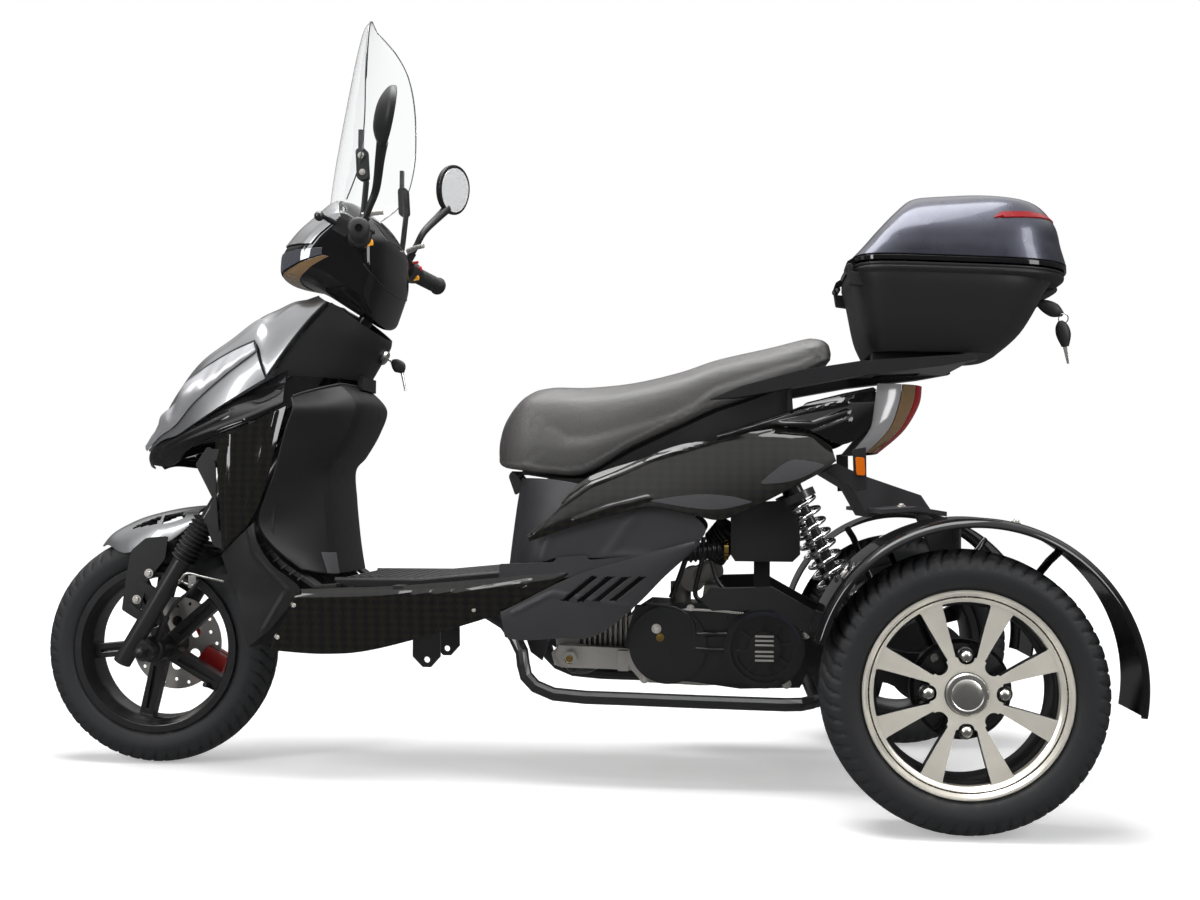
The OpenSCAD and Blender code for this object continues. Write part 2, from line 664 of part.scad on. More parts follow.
// Floor, sills and seat base. Rear places are from the rear axle, front ones from wheelbase.
floor_front = wheelbase - 402;
floor_rear = 800;
floor_mid = (floor_front + floor_rear) / 2;
floor_z = 146;
module floorboard() {
  ribs = 9;
  step = (floor_front - 40 - floor_rear) / ribs;
  part(matte_black) {
    slab([[floor_front, floor_z], [floor_front, floor_z + 4], [floor_mid, floor_z + 5],
      [floor_rear, floor_z + 21], [floor_rear, floor_z + 21 - floor_t],
      [floor_mid, floor_z + 5 - floor_t], [floor_front, floor_z + 4 - floor_t]],
      -floor_w / 2, floor_w / 2);
    for (i = [1:ribs]) let (x = floor_rear + 10 + i * step,
      z = floor_z + 5 + 16 * max(0, floor_mid - x) / (floor_mid - floor_rear))
      slab([[x, z - 2], [x + 14, z - 2], [x + 12, z + 2.5], [x + 2, z + 2.5]],
        -floor_w / 2 + 18, floor_w / 2 - 18);
    both_sides() {
      slab([[floor_front - 10, floor_z - 9], [floor_front + 34, floor_z - 10], [wheelbase - 302, 178],
        [wheelbase - 252, 234], [wheelbase - 258, 239], [wheelbase - 310, 186], [wheelbase - 374, 141],
        [floor_front - 10, floor_z - 2]], floor_w / 2 - 3, 202);
      slab([[floor_mid + 20, floor_z - 15], [floor_mid + 40, floor_z - 15], [floor_mid + 40, floor_z - 3],
        [floor_mid + 20, floor_z - 3]], floor_w / 2 - 2, 205.2);
      for (x = [floor_mid - 40, floor_mid + 40])
        slab([[x, 116.2], [x + 20, 116.2], [x + 20, floor_z + 2], [x, floor_z + 2]],
          floor_tube_y - 8, floor_tube_y + 8);
    }
  }
}

skirt_rows = [
  // [1 for places from the front axle, upper x, y, z, middle y, lower x, y, z]
  [1, -342.8, 205, 132, 207, -284.8, 196, 20],
  [1, -420, 206, 136, 209, -390, 192, 14],
  [1, -529, 206, 141, 209, -493, 190, 26],
  [0, 800, 205, 158, 206, 837, 190, 81],
  [0, 730, 203, 166, 203, 762, 192, 111],
  [0, 668, 201, 172, 201, 676, 199, 166]];
module side_skirts() {
  part(gloss_black) both_sides() skin([for (s = skirt_rows) let (x0 = s[0] * wheelbase,
    a = [x0 + s[1], s[2], s[3]], b = [x0 + s[5], s[6], s[7]])
    bend(a, [(a[0] + b[0]) / 2, s[4], (a[2] + b[2]) / 2], b, 3)], -panel_t);
}

base_rows = [
  // [height at the side, rear x, side x, front x, side y, front height]
  [196, 470, 700, 806, 192, 172],
  [246, 420, 690, 798, 190, 240],
  [290, 470, 664, 790, 184, 300],
  [330, 560, 640, 782, 168, 345]];
module seat_base() {
  part(matte_grey) both_sides() {
    slab([[784, 318], [794, 312], [seat_hinge[0] + 7, seat_hinge[1] - 2],
      [seat_hinge[0] + 3, seat_hinge[1] + 7], [seat_hinge[0] - 5, seat_hinge[1] + 6], [781, 340]],
      ear_y, ear_y + ear_t);
    translate([seat_hinge[0], ear_y - ear_t, seat_hinge[1]]) about_y() cylinder(h = ear_t + 1, r = hinge_pin_r);
  }
  part(matte_grey) skin([for (s = base_rows) across(concat(
    bend([s[3], 0, s[5]], [s[3], 60, s[5]], [s[3] - 10, 96, s[5]], 2),
    bend([s[3] - 20, 116, s[5]], [s[2] + 60, s[4], s[5]], [s[2], s[4], s[0]], 3),
    [[s[1], s[4] + 3, s[0] + 4]]))], panel_t);
}

// Hinge of the seat: its axis, the pin's radius and the lateral places of its ears
seat_hinge = [800, 350];
hinge_pin_r = 5;
ear_y = 40;
ear_t = 12;

cowl_rows = [
  // [upper x and height, lower x and height]
  [796, 96, 788, 52], [760, 114, 756, 46], [700, 146, 690, 50], [640, 172, 620, 56],
  [560, 196, 548, 112], [500, 214, 494, 168], [440, 228, 436, 222]];
louvres = 4;
// Lower side cowls with slanted louvres
module lower_cowls() {
  part(matte_grey) both_sides() difference() {
    skin([for (s = cowl_rows) bend([s[0], 198, s[1]], [(s[0] + s[2]) / 2, 204, (s[1] + s[3]) / 2],
      [s[2], 192, s[3]], 3)], -panel_t);
    for (i = [0:louvres - 1]) translate([552 + i * 34, 150, 112 + i * 2]) rotate([0, -28, 0])
      slab([[0, 0], [12, 0], [12, 46 - i * 3], [0, 46 - i * 3]], 0, 80);
  }
}

side_rows = [
  // [upper x and height, lower x and height, y of the upper edge, y of the lower edge]
  [746, 236, 744, 230, 196, 199], [700, 276, 682, 250, 194, 203], [642, 341, 600, 274, 172, 204],
  [541, 378, 522, 292, 164, 205], [470, 405, 449, 280, 158, 204], [391, 416, 391, 270, 156, 202],
  [330, 432, 320, 300, 154, 198], [286, 440, 262, 330, 152, 192], [230, 428, 214, 356, 150, 184],
  [192, 404, 184, 378, 150, 172]];
module side_panels() {
  part(gloss_black) both_sides() skin([for (s = side_rows) bend([s[0], s[4], s[1]],
    [(s[0] + s[2]) / 2, (s[4] + s[5]) / 2 + 10, (s[1] + s[3]) / 2], [s[2], s[5], s[3]], 4)], -panel_t);
}

tail_rows = [
  // [upper x and height, lower x and height, y of the upper edge, y of the lower edge]
  [404, 424, 398, 420, 150, 153], [286, 462, 300, 444, 138, 152], [230, 484, 236, 438, 128, 149],
  [160, 502, 170, 410, 118, 140], [104, 514, 118, 440, 110, 124]];
// Narrow tail between the side panels and the rear lamp, closed over the top
module tail_panel() {
  part(gloss_black) {
    both_sides() skin([for (s = tail_rows) bend([s[0], s[4], s[1]],
      [(s[0] + s[2]) / 2, (s[4] + s[5]) / 2 + 7, (s[1] + s[3]) / 2], [s[2], s[5], s[3]], 3)], -panel_t);
    skin([for (i = [2:4]) let (s = tail_rows[i]) across([[s[0], 0, s[1] + 7], [s[0], s[4] * 0.6, s[1] + 5],
      [s[0], s[4] - 1, s[1] - 2]])], -panel_t);
  }
}

lamp_rows = [
  // [height, x on the middle plane, x of the edge, y of the edge]
  [526, 6, 101, 107.5], [490, 12, 107.6, 115.6], [440, 42, 117.2, 123.6], [396, 92, 150, 122]];
module tail_lamp() {
  part([0.5, 0.05, 0.05]) skin([for (s = lamp_rows) across(
    bend([s[1], 0, s[0]], [s[1], s[3] * 0.9, s[0]], [s[2], s[3], s[0]], 4))], panel_t);
}

// Storage bucket under the seat, open at the top
bucket_x0 = 430;
bucket_x1 = 752;
bucket_w = 120;
module storage_bucket() {
  rings = function (g) [
    box_ring(bucket_x0 + 30 + g, bucket_x1 - 24 - g, bucket_w - 12 - g, 190 + g, 190 + g, 24),
    box_ring(bucket_x0 + 6 + g, bucket_x1 - 4 - g, bucket_w - 3 - g, 300, 268, 24),
    box_ring(bucket_x0 + g, bucket_x1 - g, bucket_w - g, 356, 316, 24)];
  outer = rings(0);
  inner = rings(bucket_t);
  part(matte_black) loft([outer[0], outer[1], outer[2], inner[2], inner[1], inner[0]]);
}

// Rack: two side rails under a plate that carries the top box
rack_rail = [[414, 492], [358, 516], [248, 546], [138, 563], [-60, 575], [-72, 571], [-72, 565],
  [-7, 553], [138, 536], [248, 516], [358, 496]];
rack_y = 150;
module rack() {
  part(gloss_grey) {
    both_sides() {
      slab(rack_rail, rack_y - 16, rack_y + 18);
      slab([[262, 450.5], [270, 446.5], [270, 530], [262, 530]], 120, 132.9);
      slab([[262, 518], [270, 518], [270, 530], [262, 530]], 128, rack_y);
    }
    difference() {
      slab([[136, 552], [-60, 562], [-60, 574], [136, 563]], -rack_y + 15, rack_y - 15);
      both_sides() translate([0, 45, 540]) cube([90, 60, 60]);
    }
  }
}

// Top box: hollow base and hollow lid, [x rear, x front, half width, height rear, height front]
base_shape = [[-122, 112, 140, 580, 584], [-168, 128, 166, 622, 626], [-204, 142, 190, 684, 702],
  [-214, 150, 194, 712, 728]];
lid_shape = [[-250, 152, 200, 730, 748], [-240, 130, 196, 775, 782], [-228, 104, 186, 820, 812],
  [-190, 70, 160, 862, 848], [-110, 40, 110, 880, 874], [-50, 0, 30, 885, 883]];
function shape_rings(shape, g, dz) = [for (s = shape)
  box_ring(s[0] + g, s[1] - g, s[2] - g, s[3] + dz, s[4] + dz)];
lid_hinge = [158, 737];
knuckle_y = 138;
knuckle_r = 7;
module knuckles(y0, y1, r) {
  both_sides() translate([lid_hinge[0], y0, lid_hinge[1]]) about_y() cylinder(h = y1 - y0, r = r);
}

module topbox_base() {
  outer = shape_rings(base_shape, 0, 0);
  rim = shape_rings([[-246, 150, 199, 718, 734]], 0, 0);
  rim_top = shape_rings([[-246, 150, 199, 727, 744]], 0, 0);
  inner_top = shape_rings([[-246, 150, 199, 727, 744]], 12, 0);
  inner = shape_rings(base_shape, box_t, 0);
  floor_ring = shape_rings([base_shape[0]], box_t, box_t);
  part(matte_black) {
    loft(concat(outer, rim, rim_top, inner_top, [inner[2], inner[1]], floor_ring));
    both_sides() slab([[lid_hinge[0] - 2, lid_hinge[1] - 8], [lid_hinge[0] + 4, lid_hinge[1] - 5],
      [lid_hinge[0], 706], [118, 700], [118, 726]], knuckle_y, 160);
    knuckles(knuckle_y, 160, knuckle_r);
    knuckles(knuckle_y - 20, knuckle_y + 1, knuckle_r / 2);
    both_sides() slab([[-50, 573.5 + eps], [110, 564.6 + eps], [110, 590], [-50, 588]], 60, 100);
  }
}

module topbox_lid() {
  outer = shape_rings(lid_shape, 0, 0);
  inner = shape_rings(lid_shape, box_t, 0);
  top_in = shape_rings([lid_shape[4]], box_t, -box_t);
  part(gloss_grey) {
    loft(concat([for (i = [5:-1:0]) outer[i]], [inner[0], inner[1], inner[2], inner[3]], top_in));
    difference() {
      union() {
        knuckles(knuckle_y - 22, knuckle_y - seat_gap, knuckle_r);
        both_sides() slab([[lid_hinge[0] - 5, lid_hinge[1] + 4], [lid_hinge[0] + 6, lid_hinge[1] + 3],
          [lid_hinge[0] + 2, 752], [134, 768], [132, 756], [140, 752]], knuckle_y - 22, knuckle_y - seat_gap);
      }
      knuckles(knuckle_y - 24, knuckle_y + 1, knuckle_r / 2 + eps);
    }
  }
}

module lid_reflector() {
  g = 2 * eps;
  a = lid_shape[2];
  b = lid_shape[3];
  low = box_ring(a[0] - g, a[1] + g, a[2] + g, a[3], a[4]);
  high = box_ring(b[0] - g, b[1] + g, b[2] + g, b[3] + g, b[4] + g);
  part([0.6, 0.03, 0.05]) skin([for (k = [7:21])
    let (t = 0.12 + 0.5 * (1 - pow((k - 14) / 7.4, 2)), up = high[k] - low[k])
    [low[k] + 0.08 * up, low[k] + 0.5 * t * up, low[k] + t * up]], 2.4);
}

// Seat: [x, height of the underside, height of the top, half width]
seat_shape = [[828, 380, 420, 60], [812, 366, 462, 96], [774, 360, 506, 122], [720, 352, 521, 134],
  [650, 352, 521, 140], [560, 405, 530, 142], [470, 448, 551, 138], [400, 480, 575, 122],
  [300, 514, 598, 112], [210, 560, 619, 104], [184, 572, 606, 90]];
seat_pan_t = 8;
module seat_cushion() {
  part(rubber_black) loft([for (s = seat_shape) let (h = s[2] - s[1], w = s[3], zb = s[1])
    [[s[0], 0, zb], [s[0], w * 0.86, zb], [s[0], w, zb + h * 0.25], [s[0], w * 0.98, zb + h * 0.6],
      [s[0], w * 0.84, zb + h * 0.88], [s[0], w * 0.45, zb + h], [s[0], 0, zb + h * 1.0],
      [s[0], -w * 0.45, zb + h], [s[0], -w * 0.84, zb + h * 0.88], [s[0], -w * 0.98, zb + h * 0.6],
      [s[0], -w, zb + h * 0.25], [s[0], -w * 0.86, zb]]]);
}

module seat_pan() {
  under = [for (i = [2:9]) [seat_shape[i][0], seat_shape[i][1] - eps]];
  low = [for (i = [9:-1:2]) [seat_shape[i][0], seat_shape[i][1] - seat_pan_t]];
  part(matte_black) {
    slab(concat(under, low), -92, 92);
    both_sides() difference() {
      slab([[seat_hinge[0], seat_hinge[1] - 8], [seat_hinge[0] + 8, seat_hinge[1]],
        [seat_hinge[0] + 2, seat_hinge[1] + 9], [766, 358], [766, 352.5],
        [seat_hinge[0] - 8, seat_hinge[1] + 2]], ear_y - ear_t, ear_y - seat_gap);
      translate([seat_hinge[0], 0, seat_hinge[1]]) about_y() cylinder(h = ear_y + ear_t, r = hinge_pin_r + eps);
    }
  }
}

// Frame. Tube routes are lists of [x, y, z] chosen along the body's inside.
tube_r = tube_d / 2;
guard_r = guard_d / 2;
floor_tube_y = 96;
rail_y = 138;
stand_x = floor_rear + (floor_front - floor_rear) * 0.4905;
stand_z = -6;
lug_t = 6;
function head_point(s) = [wheelbase, 0, 0] + fork_point([steer_x, 0, s]);
module frame() {
  part(matte_black) {
    in_fork() translate([steer_x, 0, head_low]) difference() {
      cylinder(h = head_top - head_low, r = head_r);
      translate([0, 0, -1]) cylinder(h = head_top - head_low + 2, r = stem_r + stem_play);
    }
    frame_tubes();
    both_sides() stand_lug();
    both_sides() engine_plate();
    both_sides() shock_lug();
    slab([[wheelbase - 298, 296], [wheelbase - 298, 306], [wheelbase - 371.6, 306], [wheelbase - 371.6, 296]],
      -20, 20);
  }
}

// Upper seat of a shock absorber: a plate under the rail with the pin through the eye
module shock_lug() {
  lug_y = 110;
  slab([[shock_top[0] - 12, shock_top[1] - 8], [shock_top[0] + 12, shock_top[1] - 8], [300, 412],
    [272, 430]], lug_y, lug_y + 8);
  translate([shock_top[0], lug_y, shock_top[1]]) about_y()
    cylinder(h = shock_y + 15.6 - lug_y, r = eye_r - eps);
}

module frame_tubes() {
  low = head_point(head_low + 60);
  knee = [wheelbase - 345, 0, 150];
  foot = [wheelbase - 382, 0, 98];
  rise = floor_rear + (floor_front - floor_rear) * 0.19;
  bar([low[0] - head_r + 4, 0, low[2] - 20], knee, tube_r + 4);
  bar([knee[0], 0, knee[2]], [foot[0] - 20, 0, foot[2]], tube_r + 4);
  translate(knee) sphere(r = tube_r + 5);
  translate([foot[0] - 20, -floor_tube_y - 4, foot[2]]) about_y()
    cylinder(h = 2 * floor_tube_y + 8, r = tube_r + 1);
  both_sides() {
    tube(smooth([[foot[0] - 20, floor_tube_y, foot[2]], [rise, floor_tube_y, 104], [790, 100, 116],
      [736, 110, 160], [690, 124, 250], [560, rail_y - 4, 312], [380, rail_y - 6, 380], [250, 112, 444],
      [150, 92, 470]], 2), tube_r - 2, 10);
    tube(smooth([[rise + 2, floor_tube_y, 96], [800, 130, 70], [762, 158, 20], [752, 168, -24],
      [700, 170, -56], [560, 170, -62], [330, 170, -66], [246, 168, -66], [216, 150, -60]], 2), guard_r, 10);
  }
  translate([216, -154, -60]) about_y() cylinder(h = 308, r = guard_r + 0.6);
  translate([800, -98, 112]) about_y() cylinder(h = 196, r = tube_r - 2);
  translate([385, -rail_y, 379]) about_y() cylinder(h = 2 * rail_y, r = tube_r - 4);
  translate([180, -100, 465]) about_y() cylinder(h = 200, r = tube_r - 4);
}

// Lug under the floor tube with the hole for a centre stand's pivot
module stand_lug() {
  difference() {
    slab([[stand_x - 24, 98], [stand_x - 26, 0], [stand_x - 8, -20], [stand_x + 8, -20], [stand_x + 28, 0],
      [stand_x + 28, 98]], floor_tube_y - lug_t / 2, floor_tube_y + lug_t / 2);
    translate([stand_x, floor_tube_y - lug_t, stand_z]) about_y() cylinder(h = 2 * lug_t, r = stand_hole_r);
  }
}

// Plate that carries the engine between the floor tubes and the guard tube
module engine_plate() {
  slab([[786, 112], [742, 150], [716, 40], [730, -2], [752, 14]], 104, 110);
}

// Engine: crankcase, finned cylinder lying forwards, head, carburettor and hanger
engine_y = 104;
module engine() {
  fins = 9;
  part(bare_metal) {
    slab([[430, -44], [540, -40], [566, -10], [566, 84], [530, 108], [430, 104], [300, 84], [258, 40],
      [262, -10], [310, -40]], -70, engine_y);
    slab([[564, -6], [680, -2], [690, 8], [690, 64], [680, 74], [564, 78]], -38, 38);
    for (i = [0:fins - 1]) translate([574 + i * 10, 0, 36]) cube([4, 122, 104], center = true);
    slab([[664, -8], [706, -8], [712, 36], [706, 78], [664, 84]], -52, 52);
    hanger();
    translate([470, 20, 100]) cylinder(h = 46, r = 20);
    translate([446, 20, 152]) about_y() cylinder(h = 66, r = 24, center = true);
    bar([446, 30, 152], [400, 60, 178], 20);
    both_sides() difference() {
      slab([[386, 94], [430, 98], [424, 142], [392, 142]], 56, 68);
      translate([pivot[0], 50, pivot[1]]) about_y() cylinder(h = 30, r = pivot_r + eps);
    }
  }
}

// Ribbed light-alloy hanger with its through bolt
module hanger() {
  for (i = [0:2]) slab([[560, -24 + i * 3], [712 - i * 8, -16], [718 - i * 6, 8], [700, 26], [560, 22]],
    56 + i * 16, 64 + i * 16);
  slab([[566, -20], [586, -20], [586, 18], [566, 18]], 50, engine_y);
  translate([676, 50, 5]) about_y() cylinder(h = 58, r = 13);
  translate([676, 106, 5]) about_y() cylinder(h = 9, r = 12, $fn = 6);
}

module lobe(p, r, y0, y1) {
  translate([p[0], y0, p[1]]) about_y() cylinder(h = y1 - y0, r = r);
}

// Belt drive cover with a lobe over each pulley
pulley_front = [490, 36];
pulley_rear = [312, 34];
module cvt_cover() {
  part(matte_black) {
    difference() {
      union() {
        slab([[552, 106], [430, 114], [300, 112], [236, 72], [222, 14], [246, -40], [356, -44], [450, -32],
          [530, -14], [572, 36]], engine_y + eps, 138);
        lobe(pulley_front, 72, 130, 152);
        lobe(pulley_rear, 74, 130, 158);
        slab([[490, 104], [312, 104], [312, -36], [490, -30]], 130, 148);
      }
      lobe(pulley_rear, 52, 154, 160);
      slab([[455, 62], [350, 68], [350, 56], [455, 50]], 145, 150);
    }
    lobe(pulley_rear, 30, 150, 162);
    for (i = [0:7]) translate([pulley_rear[0], 0, pulley_rear[1]]) rotate([0, i * 45 + 10, 0])
      slab([[-3, 28], [3, 28], [3, 54], [-3, 54]], 150, 158);
    for (a = [100:10:260]) translate([pulley_rear[0], 0, pulley_rear[1]]) rotate([0, a - 60, 0])
      slab([[-7, 62], [7, 62], [7, 70], [-7, 70]], 150, 164);
  }
}

// Air filter housing with its ribbed hose and clamp
module airbox() {
  part(matte_black) {
    slab([[366, 300], [262, 306], [248, 296], [246, 206], [260, 192], [366, 192], [374, 204], [374, 290]],
      56, 142);
    for (i = [0:4]) bar([374 + i * 6, 90, 246 - i * 5], [377 + i * 6, 88, 243 - i * 5], 34 - i * 1.5);
    bar([370, 92, 250], [406, 70, 196], 24);
    slab([[300, 194], [330, 194], [330, 89.2], [300, 84.6]], 76, 96);
  }
}

// Silencer along the right side with its pipe from the cylinder head
module muffler() {
  part(matte_black) {
    bar([470, -262, -4], [176, -264, 40], 44);
    bar([506, -261, -9], [462, -262, -3], 30);
    bar([184, -264, 39], [158, -264, 43], 22);
    tube(smooth([[688, -34, -9], [688, -34, -16], [688, -36, -28], [664, -90, -36], [610, -180, -16],
      [550, -242, -14], [500, -261, -8]], 3), 15, 10, [0, 0, 1]);
    slab([[330, 40], [400, 40], [392, 12], [340, 16]], -226, -71);
  }
}

// Rear suspension and axle
shock_y = 172;
shock_top = [262, 340];
shock_low = [122, 34];
shock_vector = shock_top - shock_low;
shock_l = norm(shock_vector);
low_seat = 96;
high_seat = shock_l - 36;
eye_r = 6;
module shocks() {
  lean = atan2(shock_vector[0], shock_vector[1]);
  part(bare_metal) both_sides() translate([shock_low[0], shock_y, shock_low[1]]) rotate([0, lean, 0]) {
    rotate_extrude() polygon([[0, 12], [19, 12], [19, low_seat - 6], [31, low_seat - 6], [31, low_seat],
      [9, low_seat], [9, high_seat], [30, high_seat], [30, high_seat + 14], [12, high_seat + 14],
      [12, shock_l - 10], [0, shock_l - 10]]);
    shock_eye(0);
    shock_eye(shock_l);
    spring(low_seat + wire_d / 2 + eps, high_seat - wire_d / 2 - eps, 24);
  }
}

module shock_eye(z) {
  translate([0, 0, z]) about_y() difference() {
    cylinder(h = 22, r = 15, center = true);
    cylinder(h = 24, r = eye_r, center = true);
  }
}

module spring(z0, z1, r) {
  steps = 9;
  count = spring_turns * steps;
  tube([for (i = [0:count]) [r * cos(i * 360 / steps), r * sin(i * 360 / steps), z0 + (z1 - z0) * i / count]],
    wire_d / 2, 5, [0, 0, 1]);
}

arm_y = 194;
arm_t = 20;
pivot = [408, 126];
pivot_r = 11;
module swing_arm() {
  part(matte_black) {
    both_sides() {
      difference() {
        slab([[pivot[0], pivot[1] - 20], [pivot[0] + 22, pivot[1]], [pivot[0], pivot[1] + 20], [300, 150],
          [120, 50], [60, 36], [-34, 36], [-40, -34], [60, -34], [150, 6], [300, 110]], arm_y, arm_y + arm_t);
        translate([0, arm_y - 1, 0]) about_y() cylinder(h = arm_t + 2, r = axle_tube_r + eps);
      }
      translate([shock_low[0], shock_y - 16, shock_low[1]]) about_y()
        cylinder(h = arm_y + 18 - shock_y, r = eye_r - eps);
    }
    translate([pivot[0], -arm_y, pivot[1]]) about_y() cylinder(h = 2 * arm_y, r = pivot_r);
  }
}

case_r = 78;
axle_tube_r = 30;
// Wheel carriers: radius, and places of their ends inwards from the wheels' middle planes
carrier_r = 62;
carrier_in = rear_y - 113;
carrier_out = rear_y - 87;
module rear_axle() {
  part(matte_black) {
    translate([0, -carrier_in - 8, 0]) about_y() cylinder(h = 2 * (carrier_in + 8), r = axle_tube_r);
    translate([0, -50, 0]) about_y() cylinder(h = 90, r = case_r);
    slab([[60, 50], [236, 70], [257.5, 38], [257.5, 10], [240, -10], [60, -46]], -46, 30);
    both_sides() {
      translate([0, carrier_in, 0]) about_y() cylinder(h = carrier_out - carrier_in, r = carrier_r);
      translate([0, carrier_in, 0]) about_y() cylinder(h = rear_y + 34 - carrier_in, r = rear_axle_d / 2);
    }
  }
}

// Rear mudguards: an arch over each tyre with a turned lip, on two stays
arch_front = 14;
arch_rear = 190;
arch_in = rear_y - 85;
module rear_fenders() {
  profile = [[arch_r, arch_in - rear_y], [arch_r, 62], [arch_r - 4, 74], [arch_r - 12, 81],
    [arch_r - 12, 85], [arch_r - 1, 78], [arch_r + guard_t, 64], [arch_r + guard_t, arch_in - rear_y]];
  part(gloss_black) both_sides() {
    translate([arch_x, rear_y, arch_z]) rotate([-90, 0, 0]) rotate([0, 0, -arch_rear])
      rotate_extrude(angle = arch_rear - arch_front, $fn = 72) polygon(profile);
    for (a = [60, 128]) fender_stay(a);
  }
}

// Stay from the axle carrier up to the arch, on its inner edge
module fender_stay(a) {
  r0 = carrier_r + seat_gap;
  tube([[r0 * cos(a), arch_in - 12, r0 * sin(a)],
    [(arch_r - 20) * cos(a) + arch_x, arch_in - 10, (arch_r - 20) * sin(a) + arch_z],
    [(arch_r + 1) * cos(a) + arch_x, arch_in + 4, (arch_r + 1) * sin(a) + arch_z]], 7, 8, [0, 1, 0.4]);
}

// Deck between the tail and the mudguards, with the plate holder behind it
plate_z = 196;
bridge_x = 10;
bridge_z = arch_z + sqrt(pow(arch_r + guard_t, 2) - pow(bridge_x - arch_x, 2)) + seat_gap;
module tail_bridge() {
  part(matte_grey) {
    translate([0, 0, bridge_z]) {
      slab([[180, 94], [124, 70], [60, 48], [24, 36], [4, 6], [bridge_x, -2], [60, 5], [120, -6], [150, 48],
        [200, 78]], -126, 126);
      both_sides() slab([[120, 3], [60, 8], [bridge_x, 0], [bridge_x, 8], [60, 16], [120, 11]],
        120, arch_in + 10);
    }
    slab([[bridge_x, bridge_z + 2], [18, bridge_z + 2], [-42, plate_z - 60], [-50, plate_z - 60],
      [-50, plate_z + 60]], -20, 20);
    difference() {
      translate([-54, -96, plate_z - 62]) cube([4, 192, 124]);
      for (y = [-1, 1]) for (z = [-1, 1])
        translate([-56, y * plate_hole_x / 2, plate_z + z * plate_hole_z / 2]) rotate([0, 90, 0])
          cylinder(h = 8, r = 3.5);
    }
  }
}

// Ignition lock with its key, and the top box's lock with the key that hangs from it
module locks_and_keys() {
  part(bare_metal) {
    at_front() translate([-444.6, 0, 588]) rotate([0, -119, 0]) {
      cylinder(h = 9, r = 14);
      translate([-9, -1.2, 8]) cube([18, 2.4, 26]);
    }
    translate([-212.4, 0, 696]) rotate([0, -90, 0]) cylinder(h = 42, r = 10);
    translate([-262, -1, 640]) cube([14, 2, 56]);
    translate([-270, -5, 572]) cube([8, 10, 70]);
  }
}

frame();
nose_fairing();
headlamps();
front_shrouds();
lower_fairings();
leg_shield();
floorboard();
side_skirts();
seat_base();
lower_cowls();
side_panels();
tail_panel();
tail_lamp();
storage_bucket();
rack();
topbox_base();
locks_and_keys();
engine();
cvt_cover();
airbox();
muffler();
shocks();
swing_arm();
rear_axle();
rear_fenders();
tail_bridge();
seat_cushion();
seat_pan();
topbox_lid();
lid_reflector();
fork();
fork_boots();
front_fender();
handlebar();
grips();
headset_cover();
headset_lamp();
controls();
mirrors();
windscreen();
screen_stays();
brake_caliper();
front_rim();
front_tyre();
brake_disc();
rear_left_rim();
rear_left_tyre();
rear_right_rim();
rear_right_tyre();
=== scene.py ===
"""Looks of a motor trike: finishes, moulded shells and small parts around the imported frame.

Places are in millimetres from the front or the rear axle, +X forward, +Y to the rider's left
and +Z up, and they become metres when a mesh is made.
"""

import json
import logging
import math
from dataclasses import dataclass, field
from enum import Enum

import bmesh
import bpy
import numpy as np
from mathutils import Matrix, Vector

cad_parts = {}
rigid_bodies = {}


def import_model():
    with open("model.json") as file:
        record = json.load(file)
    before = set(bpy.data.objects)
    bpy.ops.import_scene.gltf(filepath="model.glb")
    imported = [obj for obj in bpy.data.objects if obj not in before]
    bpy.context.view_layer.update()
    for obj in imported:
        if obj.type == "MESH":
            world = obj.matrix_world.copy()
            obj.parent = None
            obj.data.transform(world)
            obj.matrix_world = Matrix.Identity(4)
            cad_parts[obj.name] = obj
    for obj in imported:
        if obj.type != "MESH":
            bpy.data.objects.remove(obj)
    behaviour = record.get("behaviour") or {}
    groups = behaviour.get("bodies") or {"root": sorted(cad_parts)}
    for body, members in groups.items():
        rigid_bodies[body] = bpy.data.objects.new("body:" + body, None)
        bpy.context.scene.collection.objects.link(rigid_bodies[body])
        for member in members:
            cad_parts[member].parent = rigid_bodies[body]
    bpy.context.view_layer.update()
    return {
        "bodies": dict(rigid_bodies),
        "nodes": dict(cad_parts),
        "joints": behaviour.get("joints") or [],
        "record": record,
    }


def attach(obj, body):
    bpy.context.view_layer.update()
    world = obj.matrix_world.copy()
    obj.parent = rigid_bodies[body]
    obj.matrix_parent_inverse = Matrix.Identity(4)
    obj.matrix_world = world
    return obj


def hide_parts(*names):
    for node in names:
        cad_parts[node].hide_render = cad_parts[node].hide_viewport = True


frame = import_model()
LOG = logging.getLogger("trike")
Points = np.ndarray
Table = np.ndarray | list
MM = 1000.0
SIDE = (0, 1, 0)


def joint(name: str) -> dict:
    """Return the frame's joint of that name."""
    return next(j for j in frame["joints"] if j["name"] == name)


FRONT = np.array(joint("front_wheel_spin")["pos_m"]) * MM
REAR = np.array(joint("rear_left_spin")["pos_m"]) * MM * [1, 0, 1]
WHEELBASE = FRONT[0] - REAR[0]
RAKE = math.atan2(-joint("steering_turn")["axis"][0], joint("steering_turn")["axis"][2])
REAR_Y = joint("rear_left_spin")["pos_m"][1] * MM
PANEL_T = 3.5
COAT_ROUGHNESS = 0.03
TYRE_R = FRONT[2]
FLANGE_R = 166.5


